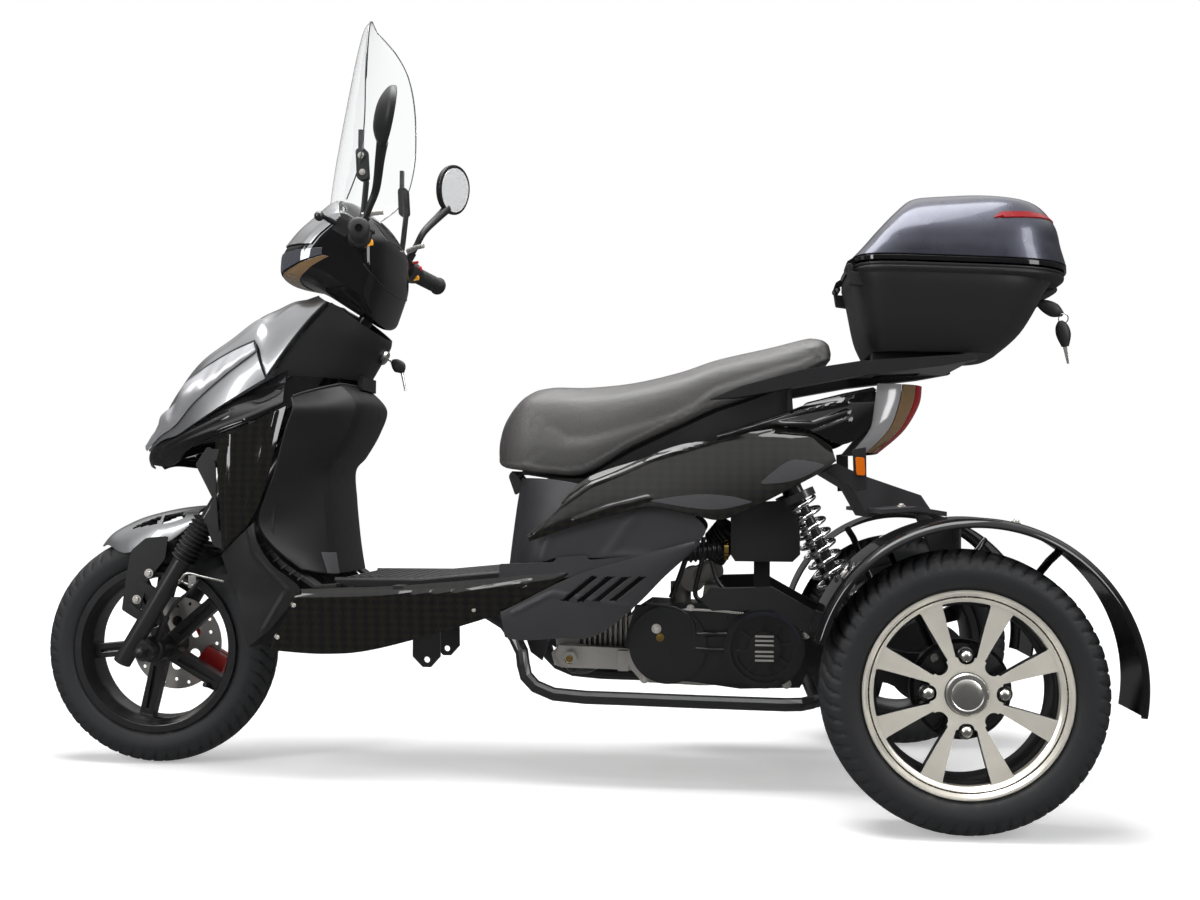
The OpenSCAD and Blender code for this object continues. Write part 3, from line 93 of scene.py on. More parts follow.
class Datum(Enum):
    """What a table of places is measured from."""

    FRONT = "front axle"
    REAR = "rear axle"
    FORK = "front axle, with heights along the steering axis"

    def place(self, points: Points) -> Points:
        """Turn places measured from this datum into places of the shared frame.

        Args:
            points: array whose last axis is x, y, z in millimetres.

        Returns:
            The same places measured from the frame's origin.
        """
        p = np.asarray(points, float)
        if self is Datum.FORK:
            c, s = math.cos(RAKE), math.sin(RAKE)
            p = xyz(p[..., 0] * c - p[..., 2] * s, p[..., 1], p[..., 0] * s + p[..., 2] * c)
        return p + (REAR if self is Datum.REAR else FRONT)


class Body(Enum):
    """The moving bodies of the trike."""

    CHASSIS = "chassis"
    SEAT = "seat"
    LID = "box_lid"
    STEERING = "steering"
    FRONT_WHEEL = "front_wheel"
    LEFT_WHEEL = "rear_left_wheel"
    RIGHT_WHEEL = "rear_right_wheel"


# Curves and grids


def xyz(x: Points, y: Points | float, z: Points) -> Points:
    """Places from their three coordinates, each an array or one number for all."""
    return np.stack(np.broadcast_arrays(x, y, z), -1)


def spline(rows: Table, steps: int) -> Points:
    """Catmull-Rom curve through rows: each span blends four rows with cubic weights.

    Args:
        rows: array (m, ...) of places or numbers.
        steps: new rows per span.

    Returns:
        Array ((m - 1) * steps + 1, ...).
    """
    p = np.asarray(rows, float)
    m = len(p)
    t = np.linspace(0, m - 1, (m - 1) * steps + 1)
    i = np.minimum(t.astype(int), m - 2)
    u = (t - i).reshape((-1,) + (1,) * (p.ndim - 1))
    a, b, c, d = p[np.maximum(i - 1, 0)], p[i], p[i + 1], p[np.minimum(i + 2, m - 1)]
    return 0.5 * (2 * b + (c - a) * u + (2 * a - 5 * b + 4 * c - d) * u**2 + (3 * b - a - 3 * c + d) * u**3)


def arc_rows(a: Points, c: Points, b: Points, count: int) -> Points:
    """Rows of quadratic curves from a to b drawn towards c: (1-u)^2 a + 2u(1-u) c + u^2 b.

    Args:
        a: starts (m, 3).
        c: control places (m, 3).
        b: ends (m, 3).
        count: places along each row.

    Returns:
        Grid (m, count, 3).
    """
    u = np.linspace(0, 1, count)[None, :, None]
    a, b, c = (np.asarray(x, float)[:, None, :] for x in (a, b, c))
    return (1 - u) ** 2 * a + 2 * u * (1 - u) * c + u**2 * b


def across(grid: Points) -> Points:
    """Mirror rows that start on the middle plane, so that they run from right to left."""
    mirrored = grid[:, :0:-1] * np.array([1, -1, 1])
    return np.concatenate([mirrored, grid], axis=1)


def half_rows(x: Points, z: Points, pull: Points | float, edge: Points, count: int) -> Points:
    """Rows from the middle plane at x and z, drawn sideways to the place pull, out to the edge."""
    return arc_rows(xyz(x, 0, z), xyz(x, pull, z), edge, count)


def grid_normals(grid: Points) -> Points:
    """Unit normals of a grid: the cross product of its row and column differences."""
    n = np.cross(np.gradient(grid, axis=0), np.gradient(grid, axis=1))
    return n / np.maximum(np.linalg.norm(n, axis=-1, keepdims=True), 1e-9)


def rounded(outline: Table, radius: float, steps: int = 4) -> Points:
    """Round each corner of a closed outline by a quadratic curve that starts radius before it.

    Args:
        outline: corners (k, 2).
        radius: how far before and after a corner the curve runs, at most 0.45 of a side.
        steps: spans of each curve.

    Returns:
        Outline (k * (steps + 1), 2).
    """
    p = np.asarray(outline, float)
    back, ahead = np.roll(p, 1, 0) - p, np.roll(p, -1, 0) - p
    cut = [np.minimum(radius / np.linalg.norm(v, axis=1, keepdims=True), 0.45) * v for v in (back, ahead)]
    u = np.linspace(0, 1, steps + 1)[None, :, None]
    a, b, c = p + cut[0], p + cut[1], p
    curve = (1 - u) ** 2 * a[:, None] + 2 * u * (1 - u) * c[:, None] + u**2 * b[:, None]
    return curve.reshape(-1, p.shape[1])


def super_ring(rear: float, front: float, half: float, z_rear: float, z_front: float,
               count: int = 96) -> Points:
    """Superellipse seen from above: x and y follow signed powers of cosine and sine.

    The power 1 would be an ellipse, and less is squarer; the front half is the squarer one.

    Args:
        rear: x of the rear end.
        front: x of the front end.
        half: half width.
        z_rear: height at the rear end.
        z_front: height at the front end.
        count: places round the ring.

    Returns:
        Ring (count, 3).
    """
    a = np.linspace(0, 2 * np.pi, count, endpoint=False)
    c, s = np.cos(a), np.sin(a)
    power = np.where(c > 0, 0.3, 0.55)
    x = (rear + front) / 2 + (front - rear) / 2 * np.sign(c) * np.abs(c) ** power
    y = half * np.sign(s) * np.abs(s) ** power
    return xyz(x, y, z_rear + (z_front - z_rear) * (x - rear) / (front - rear))


def grid_faces(m: int, n: int, round_rows: bool = False, round_columns: bool = False) -> Points:
    """Four-cornered faces of an m by n grid, closed along rows or columns where asked."""
    i = np.arange(m if round_rows else m - 1)[:, None]
    j = np.arange(n if round_columns else n - 1)[None, :]
    i1, j1 = (i + 1) % m, (j + 1) % n
    corners = np.broadcast_arrays(i * n + j, i * n + j1, i1 * n + j1, i1 * n + j)
    return np.stack([c.ravel() for c in corners], 1)


@dataclass(frozen=True)
class Form:
    """Points in millimetres and faces by corner count; tones picks the material of each face set."""

    points: Points
    faces: tuple[Points, ...]
    tones: tuple[int, ...]

    @staticmethod
    def of(points: Points, *faces: Points) -> "Form":
        """Return a form of one tone."""
        return Form(np.asarray(points, float).reshape(-1, 3), tuple(faces), (0,) * len(faces))

    def toned(self, tone: int) -> "Form":
        """Return the form with all its faces in one tone."""
        return Form(self.points, self.faces, (tone,) * len(self.faces))

    def joined(self, *others: "Form") -> "Form":
        """Return one form of this and the others."""
        forms = (self, *others)
        starts = np.cumsum([0, *(len(f.points) for f in forms)])
        faces = tuple(f + s for form, s in zip(forms, starts) for f in form.faces)
        return Form(np.concatenate([f.points for f in forms]), faces, sum((f.tones for f in forms), ()))

    def at(self, datum: Datum) -> "Form":
        """Return the form with its points placed from a datum."""
        return Form(datum.place(self.points), self.faces, self.tones)

    def moved(self, matrix: Matrix) -> "Form":
        """Return the form moved by a matrix."""
        m = np.array(matrix)
        return Form(self.points @ m[:3, :3].T + m[:3, 3], self.faces, self.tones)

    def shifted(self, *offset: float) -> "Form":
        """Return the form moved by x, y and z."""
        return Form(self.points + np.array(offset), self.faces, self.tones)

    def mirrored(self) -> "Form":
        """Return the mirror image over the middle plane."""
        return Form(self.points * [1, -1, 1], tuple(f[:, ::-1] for f in self.faces), self.tones)

    def both_sides(self) -> "Form":
        """Return the form with its mirror image."""
        return self.joined(self.mirrored())

    def spun(self, count: int, offset: float = 0.0) -> "Form":
        """Return copies turned evenly round the axle, the first by the offset's share of a step."""
        step = 2 * math.pi / count
        return self.repeated([Matrix.Rotation((k + offset) * step, 4, "Y") for k in range(count)])

    def repeated(self, matrices: list[Matrix]) -> "Form":
        """Return one copy for each matrix, made as whole arrays."""
        m = np.array([np.array(x) for x in matrices])
        points = np.einsum("kij,nj->kni", m[:, :3, :3], self.points) + m[:, None, :3, 3]
        starts = np.arange(len(m))[:, None, None] * len(self.points)
        faces = tuple((f[None] + starts).reshape(-1, f.shape[1]) for f in self.faces)
        return Form(points.reshape(-1, 3), faces, self.tones)


def wall(grid: Points, thickness: float, keep: Points | None = None, closed: bool = False) -> Form:
    """Closed shell: the grid, the same grid moved along its normals, and a rim round what is kept.

    Args:
        grid: places (m, n, 3).
        thickness: how far the second side lies along the grid's normals.
        keep: mask of the cells that stay, all of them by default.
        closed: whether the last column joins the first.

    Returns:
        The shell; an edge that belongs to one kept cell alone gets a rim.
    """
    m, n = grid.shape[:2]
    inner = grid + thickness * grid_normals(grid)
    front = grid_faces(m, n, False, closed)
    if keep is not None:
        front = front[keep.ravel()]
    edges = np.stack([front, np.roll(front, -1, 1)], -1).reshape(-1, 2)
    ways = edges @ np.array([[m * n, 1], [1, m * n]])
    edges = edges[~np.isin(ways[:, 0], ways[:, 1])]
    rim = np.stack([edges[:, 1], edges[:, 0], edges[:, 0] + m * n, edges[:, 1] + m * n], 1)
    return Form.of(
        np.concatenate([grid.reshape(-1, 3), inner.reshape(-1, 3)]), front, front[:, ::-1] + m * n, rim)


def creased(grid: Points, lines: tuple, height: float, width: float) -> Points:
    """Raise sharp ridges sideways on a grid.

    Args:
        grid: places (m, n, 3) of a left-hand panel.
        lines: rows of [x, z, x, z], the ends of each ridge in the side view.
        height: rise on the line, which falls straight to nothing at the width; negative for a groove.
        width: half width of a ridge's foot.

    Returns:
        The grid with its y moved by the highest ridge at each place.
    """
    places = grid[..., [0, 2]]
    share = np.zeros(grid.shape[:2])
    for x0, z0, x1, z1 in lines:
        start, way = np.array([x0, z0], float), np.array([x1 - x0, z1 - z0], float)
        along = np.clip((places - start) @ way / (way @ way), 0, 1)
        gap = np.linalg.norm(places - start - along[..., None] * way, axis=-1)
        share = np.maximum(share, np.clip(1 - gap / width, 0, 1))
    return grid + share[..., None] * np.array([0, height, 0])


def lateral(grid: Points, places: Points) -> Points:
    """Height y of a panel over [x, z] places: a mean of its points weighted by distance to the power -4."""
    flat = grid.reshape(-1, 3)
    square = ((places[..., None, :] - flat[:, [0, 2]]) ** 2).sum(-1)
    weight = 1 / (square + 1) ** 2
    return (weight * flat[:, 1]).sum(-1) / weight.sum(-1)


def laid(grid: Points, upper: Table, lower: Table, lift: float = 2.4, thickness: float = 2.0) -> Form:
    """Thin plate on a panel between two curves in the side view, lifted off the panel's surface."""
    a, b = spline(upper, 8), spline(lower, 8)
    v = np.linspace(0, 1, 9)[None, :, None]
    places = a[:, None] * (1 - v) + b[:, None] * v
    y = lateral(grid, places) + lift
    return wall(xyz(places[..., 0], y, places[..., 1]), -thickness)


def rings_form(rings: Points) -> Form:
    """Surface through closed rings (m, n, 3), with flat ends."""
    m, n = rings.shape[:2]
    ends = np.stack([np.arange(n)[::-1], (m - 1) * n + np.arange(n)])
    return Form.of(rings, grid_faces(m, n, False, True), ends)


def frames_of(direction: Points) -> tuple[Points, Points]:
    """Two unit vectors square to each direction, from the world axis that lies least along it."""
    d = direction / np.linalg.norm(direction, axis=-1, keepdims=True)
    spread = np.abs(d.reshape(-1, 3)).max(0)
    ref = np.eye(3)[np.argmin(spread)]
    u = np.cross(d, ref)
    u = u / np.linalg.norm(u, axis=-1, keepdims=True)
    return u, np.cross(d, u)


def tube(path: Table, radius: float | Points, sides: int = 16) -> Form:
    """Round bar along a path: circles square to the path's direction, radius each."""
    p = np.asarray(path, float)
    u, v = frames_of(np.gradient(p, axis=0))
    a = np.linspace(0, 2 * np.pi, sides, endpoint=False)[None, :, None]
    r = np.broadcast_to(np.asarray(radius, float), len(p))[:, None, None]
    return rings_form(p[:, None] + r * (np.cos(a) * u[:, None] + np.sin(a) * v[:, None]))


def turned(profile: Table, base: Table = (0, 0, 0), axis: Table = SIDE, segments: int = 48) -> Form:
    """Solid of revolution: profile rows are [radius, distance along the axis from base]."""
    p = np.asarray(profile, float)
    d = np.asarray(axis, float) / np.linalg.norm(axis)
    u, v = frames_of(d[None])
    a = np.linspace(0, 2 * np.pi, segments, endpoint=False)[:, None, None]
    spokes = np.cos(a) * u[0] + np.sin(a) * v[0]
    points = np.asarray(base, float) + p[None, :, :1] * spokes + p[None, :, 1:] * d
    return Form.of(points, grid_faces(segments, len(p), True, True))


def prism(outline: Table, y0: float, y1: float) -> Form:
    """Slab with a side outline of [x, z] corners between two lateral places."""
    p = np.asarray(outline, float)
    return rings_form(xyz(p[:, 0], np.array([[y0], [y1]]), p[:, 1]))


def block(centre: Table, size: Table) -> Form:
    """Box by its centre and its three sizes."""
    (x, y, z), (a, b, c) = centre, np.asarray(size, float) / 2
    return prism([[x - a, z - c], [x + a, z - c], [x + a, z + c], [x - a, z + c]], y - b, y + b)


def bolt(place: Table, axis: Table, size: float) -> Form:
    """Hexagon head on a washer, about size across its corners' half."""
    washer = [[0, 0], [size * 1.5, 0], [size * 1.5, size * 0.25], [0, size * 0.25]]
    head = [[0, size * 0.2], [size, size * 0.2], [size, size * 0.8], [size * 0.8, size], [0, size]]
    return turned(washer, place, axis, 24).joined(turned(head, place, axis, 6))


# Finishes


class Nodes:
    """Short way to add nodes and links to one node tree."""

    def __init__(self, tree: bpy.types.NodeTree) -> None:
        """Keep the tree."""
        self.tree = tree

    def feed(self, node: bpy.types.Node, inputs: dict) -> None:
        """Give inputs of a node, by name or number, their values or the sockets that feed them."""
        for key, value in inputs.items():
            if isinstance(value, bpy.types.NodeSocket):
                self.tree.links.new(value, node.inputs[key])
            else:
                node.inputs[key].default_value = value

    def add(self, kind: str, inputs: dict | None = None, **settings: object) -> bpy.types.Node:
        """Add a node.

        Args:
            kind: class name after ShaderNode.
            inputs: socket name or number, and the value or the socket that feeds it.
            **settings: attributes of the node.

        Returns:
            The node.
        """
        node = self.tree.nodes.new("ShaderNode" + kind)
        for key, value in settings.items():
            setattr(node, key, value)
        self.feed(node, inputs or {})
        return node

    def blend(self, factor: object, a: object, b: object, mode: str = "MIX") -> bpy.types.NodeSocket:
        """Mix two colours and return the result's socket."""
        node = self.add("Mix", {0: factor, 6: a, 7: b}, data_type="RGBA", blend_type=mode)
        return node.outputs[2]

    def math(self, operation: str, *values: object) -> bpy.types.NodeSocket:
        """Return the result of a math node on these values."""
        return self.add("Math", dict(enumerate(values)), operation=operation).outputs[0]

    def between(self, value: object, low: float, high: float, to: tuple = (0.0, 1.0)) -> bpy.types.NodeSocket:
        """Map a value from one range smoothly onto another and return it."""
        ends = {"From Min": low, "From Max": high, "To Min": to[0], "To Max": to[1]}
        node = self.add("MapRange", {"Value": value, **ends}, interpolation_type="SMOOTHSTEP")
        return node.outputs[0]


def new_group(name: str, inputs: dict, outputs: dict) -> tuple[Nodes, dict, bpy.types.Node]:
    """Make a shader node group.

    Args:
        name: the group's name.
        inputs: socket names and default values; a tuple is a colour.
        outputs: socket names and True where the socket is a colour.

    Returns:
        The tree's Nodes, its given sockets by name and its output node.
    """
    tree = bpy.data.node_groups.new(name, "ShaderNodeTree")
    for key, value in inputs.items():
        kind = "NodeSocketColor" if isinstance(value, tuple) else "NodeSocketFloat"
        socket = tree.interface.new_socket(key, in_out="INPUT", socket_type=kind)
        socket.default_value = value
    for key, colour in outputs.items():
        kind = "NodeSocketColor" if colour else "NodeSocketFloat"
        tree.interface.new_socket(key, in_out="OUTPUT", socket_type=kind)
    first, last = tree.nodes.new("NodeGroupInput"), tree.nodes.new("NodeGroupOutput")
    return Nodes(tree), {key: first.outputs[key] for key in inputs}, last


def surface_group() -> bpy.types.NodeTree:
    """Shared surface: slow changes of colour and gloss, fine grain, and dust on what faces up."""
    nodes, given, last = new_group(
        "aged_surface",
        {"Color": (0.1, 0.1, 0.1, 1.0), "Color Spread": 0.15, "Roughness": 0.4, "Roughness Spread": 0.1,
         "Grain Scale": 900.0, "Dust": 0.1},
        {"Color": True, "Roughness": False, "Height": False})
    place = nodes.add("TexCoord").outputs["Object"]
    slow = nodes.add("TexNoise", {"Vector": place, "Scale": 7.0, "Detail": 5.0, "Roughness": 0.6})
    fine = nodes.add("TexNoise", {"Vector": place, "Scale": given["Grain Scale"], "Detail": 3.0})
    smear = nodes.add("TexNoise", {"Vector": place, "Scale": 38.0, "Detail": 6.0, "Distortion": 0.6})
    shade = nodes.math("MULTIPLY", nodes.math("SUBTRACT", slow.outputs[0], 0.5), given["Color Spread"])
    lighter = nodes.math("ADD", 1.0, nodes.math("MULTIPLY", shade, 2.0))
    tinted = nodes.add("VectorMath", {0: given["Color"], "Scale": lighter}, operation="SCALE").outputs[0]
    up = nodes.add("SeparateXYZ", {0: nodes.add("NewGeometry").outputs["Normal"]}).outputs["Z"]
    facing = nodes.between(up, 0.2, 0.95)
    mask = nodes.math("MULTIPLY", facing, nodes.between(smear.outputs[0], 0.42, 0.72))
    dust = nodes.math("MULTIPLY", mask, given["Dust"])
    colour = nodes.blend(dust, tinted, (0.32, 0.3, 0.27, 1.0))
    uneven = nodes.math("MULTIPLY", nodes.math("SUBTRACT", smear.outputs[0], 0.5), given["Roughness Spread"])
    rough = nodes.math(
        "ADD", nodes.math("ADD", given["Roughness"], nodes.math("MULTIPLY", uneven, 2.0)),
        nodes.math("MULTIPLY", dust, 0.5))
    rough = nodes.math("MAXIMUM", rough, 0.02)
    nodes.feed(last, {"Color": colour, "Roughness": rough, "Height": fine.outputs[0]})
    return nodes.tree


def leather_group() -> bpy.types.NodeTree:
    """Leather grain: rounded cells between thin valleys, softened by noise."""
    nodes, given, last = new_group("leather_grain", {"Cells": 420.0}, {"Height": False})
    place = nodes.add("TexCoord").outputs["Object"]
    bent = nodes.add("TexNoise", {"Vector": place, "Scale": 60.0, "Detail": 2.0}).outputs["Color"]
    moved = nodes.add("VectorMath", {0: bent, 1: (0.004, 0.004, 0.004), 2: place}, operation="MULTIPLY_ADD")
    cells = nodes.add(
        "TexVoronoi", {"Vector": moved.outputs[0], "Scale": given["Cells"]}, feature="DISTANCE_TO_EDGE")
    nodes.feed(last, {"Height": nodes.between(cells.outputs["Distance"], 0.0, 0.25)})
    return nodes.tree


def lattice_group() -> bpy.types.NodeTree:
    """Diamond lattice in the side view: two families of slanted waves multiplied together."""
    nodes, given, last = new_group("diamond_lattice", {"Scale": 150.0, "Slope": 1.5}, {"Mask": False})
    place = nodes.add("SeparateXYZ", {0: nodes.add("TexCoord").outputs["Object"]})
    rise = nodes.math("MULTIPLY", place.outputs["Z"], given["Slope"])
    slants = [nodes.math(way, place.outputs["X"], rise) for way in ("ADD", "SUBTRACT")]
    waves = [nodes.math("SINE", nodes.math("MULTIPLY", slant, given["Scale"])) for slant in slants]
    nodes.feed(last, {"Mask": nodes.between(nodes.math("MULTIPLY", *waves), -0.15, 0.15)})
    return nodes.tree


def turning_group() -> bpy.types.NodeTree:
    """Turning marks: fine rings round the axle, from the distance to it in the side view."""
    nodes, given, last = new_group(
        "turning_marks", {"Rings": 2600.0, "Axle X": 0.0, "Axle Z": 0.23}, {"Height": False})
    place = nodes.add("SeparateXYZ", {0: nodes.add("TexCoord").outputs["Object"]})
    away = [nodes.math("SUBTRACT", place.outputs[axis], given[f"Axle {axis}"]) for axis in "XZ"]
    squares = [nodes.math("MULTIPLY", part, part) for part in away]
    radius = nodes.math("SQRT", nodes.math("ADD", *squares))
    nodes.feed(last, {"Height": nodes.math("SINE", nodes.math("MULTIPLY", radius, given["Rings"]))})
    return nodes.tree


class Pattern(Enum):
    """Which shared effect shapes a finish beside the plain surface."""

    PLAIN = "plain"
    LEATHER = "leather"
    LATTICE = "lattice"
    TURNED = "turned"


GROUPS = {
    Pattern.PLAIN: surface_group(), Pattern.LEATHER: leather_group(), Pattern.LATTICE: lattice_group(),
    Pattern.TURNED: turning_group()}


@dataclass(frozen=True)
class Finish:
    """One material: its colour, gloss, grain and the record's slot that it stands for."""

    name: str
    slot: str
    colour: tuple[float, float, float]
    roughness: float
    metallic: float = 0.0
    coat: float = 0.0
    spread: float = 0.15
    gloss_spread: float = 0.06
    grain: float = 900.0
    relief: float = 0.00004
    dust: float = 0.03
    clear: float = 0.0
    alpha: float = 1.0
    ior: float = 1.5
    pattern: Pattern = Pattern.PLAIN
    second: tuple[float, float, float] = (0.1, 0.1, 0.1)

    def material(self) -> bpy.types.Material:
        """Return the finish's material, made at its first use."""
        title = f"{self.name}_finish"
        found = bpy.data.materials.get(title)
        if found:
            return found
        material = bpy.data.materials.new(title)
        material.use_nodes = True
        shader = material.node_tree.nodes["Principled BSDF"]
        nodes = Nodes(material.node_tree)
        surface = nodes.add("Group", node_tree=GROUPS[Pattern.PLAIN])
        nodes.feed(
            surface, {"Color": (*self.colour, 1.0), "Color Spread": self.spread,
            "Roughness": self.roughness, "Roughness Spread": self.gloss_spread, "Grain Scale": self.grain,
            "Dust": self.dust})
        colour, height = surface.outputs["Color"], surface.outputs["Height"]
        if self.pattern is Pattern.LEATHER:
            height = nodes.add("Group", node_tree=GROUPS[self.pattern]).outputs["Height"]
        elif self.pattern is Pattern.TURNED:
            turning = nodes.add("Group", node_tree=GROUPS[self.pattern])
            nodes.feed(turning, {"Axle X": REAR[0] / MM})
            height = turning.outputs["Height"]
        elif self.pattern is Pattern.LATTICE:
            mask = nodes.add("Group", node_tree=GROUPS[self.pattern]).outputs["Mask"]
            colour = nodes.blend(mask, colour, (*self.second, 1.0))
        nodes.feed(
            shader, {"Base Color": colour, "Roughness": surface.outputs["Roughness"],
            "Metallic": self.metallic, "Coat Weight": self.coat, "Coat Roughness": COAT_ROUGHNESS,
            "Transmission Weight": self.clear, "IOR": self.ior, "Alpha": self.alpha})
        if self.relief:
            bump = nodes.add("Bump", {"Height": height, "Distance": self.relief, "Strength": 1.0})
            nodes.feed(shader, {"Normal": bump.outputs[0]})
        return material


GLOSS_BLACK = Finish(
    "gloss_black", "gloss_black_plastic", (0.005, 0.005, 0.0055), 0.06, relief=0.000004, grain=160.0,
    ior=1.4)
GLOSS_PATTERN = Finish(
    "gloss_lattice", "gloss_black_plastic", (0.005, 0.005, 0.0055), 0.06, relief=0.0,
    pattern=Pattern.LATTICE, second=(0.0085, 0.008, 0.006), ior=1.4)
METAL_GREY = Finish(
    "metallic_grey", "metallic_grey_plastic", (0.21, 0.212, 0.218), 0.34, metallic=0.7, coat=0.6,
    relief=0.0, spread=0.12)
LID_PAINT = Finish(
    "lid_paint", "metallic_grey_plastic", (0.045, 0.047, 0.064), 0.3, metallic=0.7, coat=0.3, relief=0.0,
    spread=0.5, gloss_spread=0.12)
MATTE_BLACK = Finish(
    "matte_black", "matte_black_plastic", (0.011, 0.011, 0.0115), 0.46, relief=0.00006, ior=1.4)
MATTE_GREY = Finish("matte_grey", "matte_grey_plastic", (0.024, 0.024, 0.026), 0.48, relief=0.00007, ior=1.4)
SATIN_STEEL = Finish("black_steel", "black_steel", (0.012, 0.012, 0.013), 0.3, relief=0.00002, coat=0.2)
TYRE = Finish("tyre", "tyre_rubber", (0.013, 0.0135, 0.015), 0.6, relief=0.00006, dust=0.12, ior=1.4)
SOFT_RUBBER = Finish("soft_rubber", "soft_rubber", (0.012, 0.012, 0.012), 0.55)
MACHINED = Finish(
    "machined_alloy", "polished_alloy", (0.86, 0.82, 0.73), 0.22, metallic=0.62, relief=0.000004,
    pattern=Pattern.TURNED, dust=0.02, spread=0.35)
RAW_ALLOY = Finish(
    "raw_alloy", "raw_alloy", (0.34, 0.33, 0.31), 0.42, metallic=0.4, relief=0.00015, grain=420.0)
BLACK_ALLOY = Finish("black_alloy", "black_alloy", (0.01, 0.01, 0.011), 0.3, coat=0.3, relief=0.00004)
BARE_STEEL = Finish("bare_steel", "bare_steel", (0.5, 0.48, 0.45), 0.32, metallic=0.5, relief=0.00002)
CHROME = Finish(
    "chrome", "chrome", (0.75, 0.75, 0.76), 0.08, metallic=1.0, relief=0.0, spread=0.03, dust=0.02)
RED_PAINT = Finish("red_paint", "red_paint", (0.4, 0.01, 0.01), 0.35, relief=0.00003)
VINYL = Finish(
    "seat_vinyl", "seat_vinyl", (0.055, 0.053, 0.052), 0.4, relief=0.00016, pattern=Pattern.LEATHER)
SCREEN = Finish(
    "clear_screen", "clear_screen", (0.97, 0.98, 0.98), 0.02, clear=1.0, ior=1.15, relief=0.0, spread=0.0,
    gloss_spread=0.0, dust=0.0)
# Headlamp lens: mostly see-through so that light reaches the bowl. Its faint pale grey film is a painted
# sheen on the clear lens.
CLEAR_LENS_PAINTED_SHEEN = Finish(
    "clear_lens", "clear_lens", (0.5, 0.51, 0.54), 0.08, alpha=0.2, relief=0.0, dust=0.0, spread=0.0,
    gloss_spread=0.0)
AMBER_LENS = Finish("amber_lens", "amber_lens", (0.5, 0.1, 0.0), 0.3, relief=0.00003, ior=1.3)
RED_LENS = Finish("red_lens", "red_lens", (0.2, 0.0, 0.003), 0.25, relief=0.00003, ior=1.3)
SMOKE_LENS = Finish("smoked_lens", "clear_lens", (0.05, 0.052, 0.062), 0.06, coat=0.8, relief=0.000004)
TAN_LENS = Finish("tan_lens", "amber_lens", (0.13, 0.08, 0.038), 0.1, coat=0.8, relief=0.00001)
FROST_LENS = Finish(
    "frosted_lens", "clear_lens", (0.2, 0.2, 0.205), 0.16, coat=0.6, relief=0.00002, grain=300.0)
REFLECTOR = Finish("reflector_bowl", "chrome", (0.42, 0.42, 0.44), 0.38, metallic=0.7, relief=0.0, dust=0.02)
ZINC = Finish("zinc_plate", "bare_steel", (0.62, 0.61, 0.58), 0.28, metallic=1.0, relief=0.00003)
RED_BUTTON = Finish("red_button", "red_paint", (0.55, 0.012, 0.012), 0.3, relief=0.00001)
AMBER_BUTTON = Finish("amber_button", "amber_lens", (0.85, 0.36, 0.02), 0.3, relief=0.00001)
BLANK_PLATE = Finish("blank_plate", "bare_steel", (0.12, 0.12, 0.125), 0.35, metallic=0.4, relief=0.00002)
GOLD = Finish("gold_clamp", "chrome", (0.75, 0.5, 0.14), 0.22, metallic=1.0, relief=0.00001)
# Mirror glass is only partly metallic. The rest is a diffuse pale grey: a painted reflection that keeps the
# glass light whatever it faces.
MIRROR_PAINTED_REFLECTION = Finish(
    "mirror_glass", "chrome", (0.9, 0.91, 0.92), 0.03, metallic=0.35, relief=0.0, spread=0.0,
    gloss_spread=0.0, dust=0.0)

CAD_FINISHES = {
    "frame": SATIN_STEEL, "storage_bucket": MATTE_BLACK, "engine": RAW_ALLOY, "muffler": SATIN_STEEL,
    "swing_arm": SATIN_STEEL, "rear_axle": SATIN_STEEL, "seat_pan": MATTE_BLACK, "fork": SATIN_STEEL,
    "brake_caliper": RED_PAINT, "front_rim": BLACK_ALLOY, "brake_disc": BARE_STEEL,
    "screen_stays": SATIN_STEEL, "rack": SATIN_STEEL, "cvt_cover": BLACK_ALLOY, "airbox": MATTE_BLACK,
    "controls": BLACK_ALLOY, "tail_bridge": MATTE_GREY,}


# Making pieces


def new_object(name: str, data: bpy.types.ID) -> bpy.types.Object:
    """Make an object and link it to the scene."""
    obj = bpy.data.objects.new(name, data)
    bpy.context.scene.collection.objects.link(obj)
    return obj


def round_edges(obj: bpy.types.Object, width: float, angle: float, segments: int = 2) -> None:
    """Bevel the edges sharper than an angle in degrees, and shade the flat faces evenly.

    Args:
        obj: the object.
        width: width of the rounded edges in millimetres.
        angle: edges sharper than this many degrees are rounded.
        segments: faces across each rounded edge.
    """
    rounding = obj.modifiers.new("edges", "BEVEL")
    rounding.width, rounding.segments = width / MM, segments
    rounding.limit_method, rounding.angle_limit = "ANGLE", math.radians(angle)
    rounding.harden_normals = False
    obj.modifiers.new("shading", "WEIGHTED_NORMAL").keep_sharp = True


def make_mesh(name: str, form: Form) -> bpy.types.Mesh:
    """Turn a form into a mesh with merged doubles and normals that point outwards."""
    mesh = bpy.data.meshes.new(name)
    sizes = np.concatenate([np.full(len(f), f.shape[1]) for f in form.faces])
    used, corners = np.unique(np.concatenate([f.ravel() for f in form.faces]), return_inverse=True)
    mesh.vertices.add(len(used))
    mesh.vertices.foreach_set("co", (form.points[used] / MM).ravel())
    mesh.loops.add(len(corners))
    mesh.loops.foreach_set("vertex_index", corners)
    mesh.polygons.add(len(sizes))
    mesh.polygons.foreach_set("loop_start", np.cumsum([0, *sizes[:-1]]))
    mesh.polygons.foreach_set("loop_total", sizes)
    tones = np.concatenate([np.full(len(f), t) for f, t in zip(form.faces, form.tones)])
    mesh.polygons.foreach_set("material_index", tones)
    mesh.update(calc_edges=True)
    mesh.validate()
    cleaned = bmesh.new()
    cleaned.from_mesh(mesh)
    bmesh.ops.remove_doubles(cleaned, verts=cleaned.verts, dist=2e-6)
    bmesh.ops.dissolve_degenerate(cleaned, edges=cleaned.edges, dist=1e-6)
    bmesh.ops.recalc_face_normals(cleaned, faces=cleaned.faces)
    cleaned.to_mesh(mesh)
    cleaned.free()
    return mesh


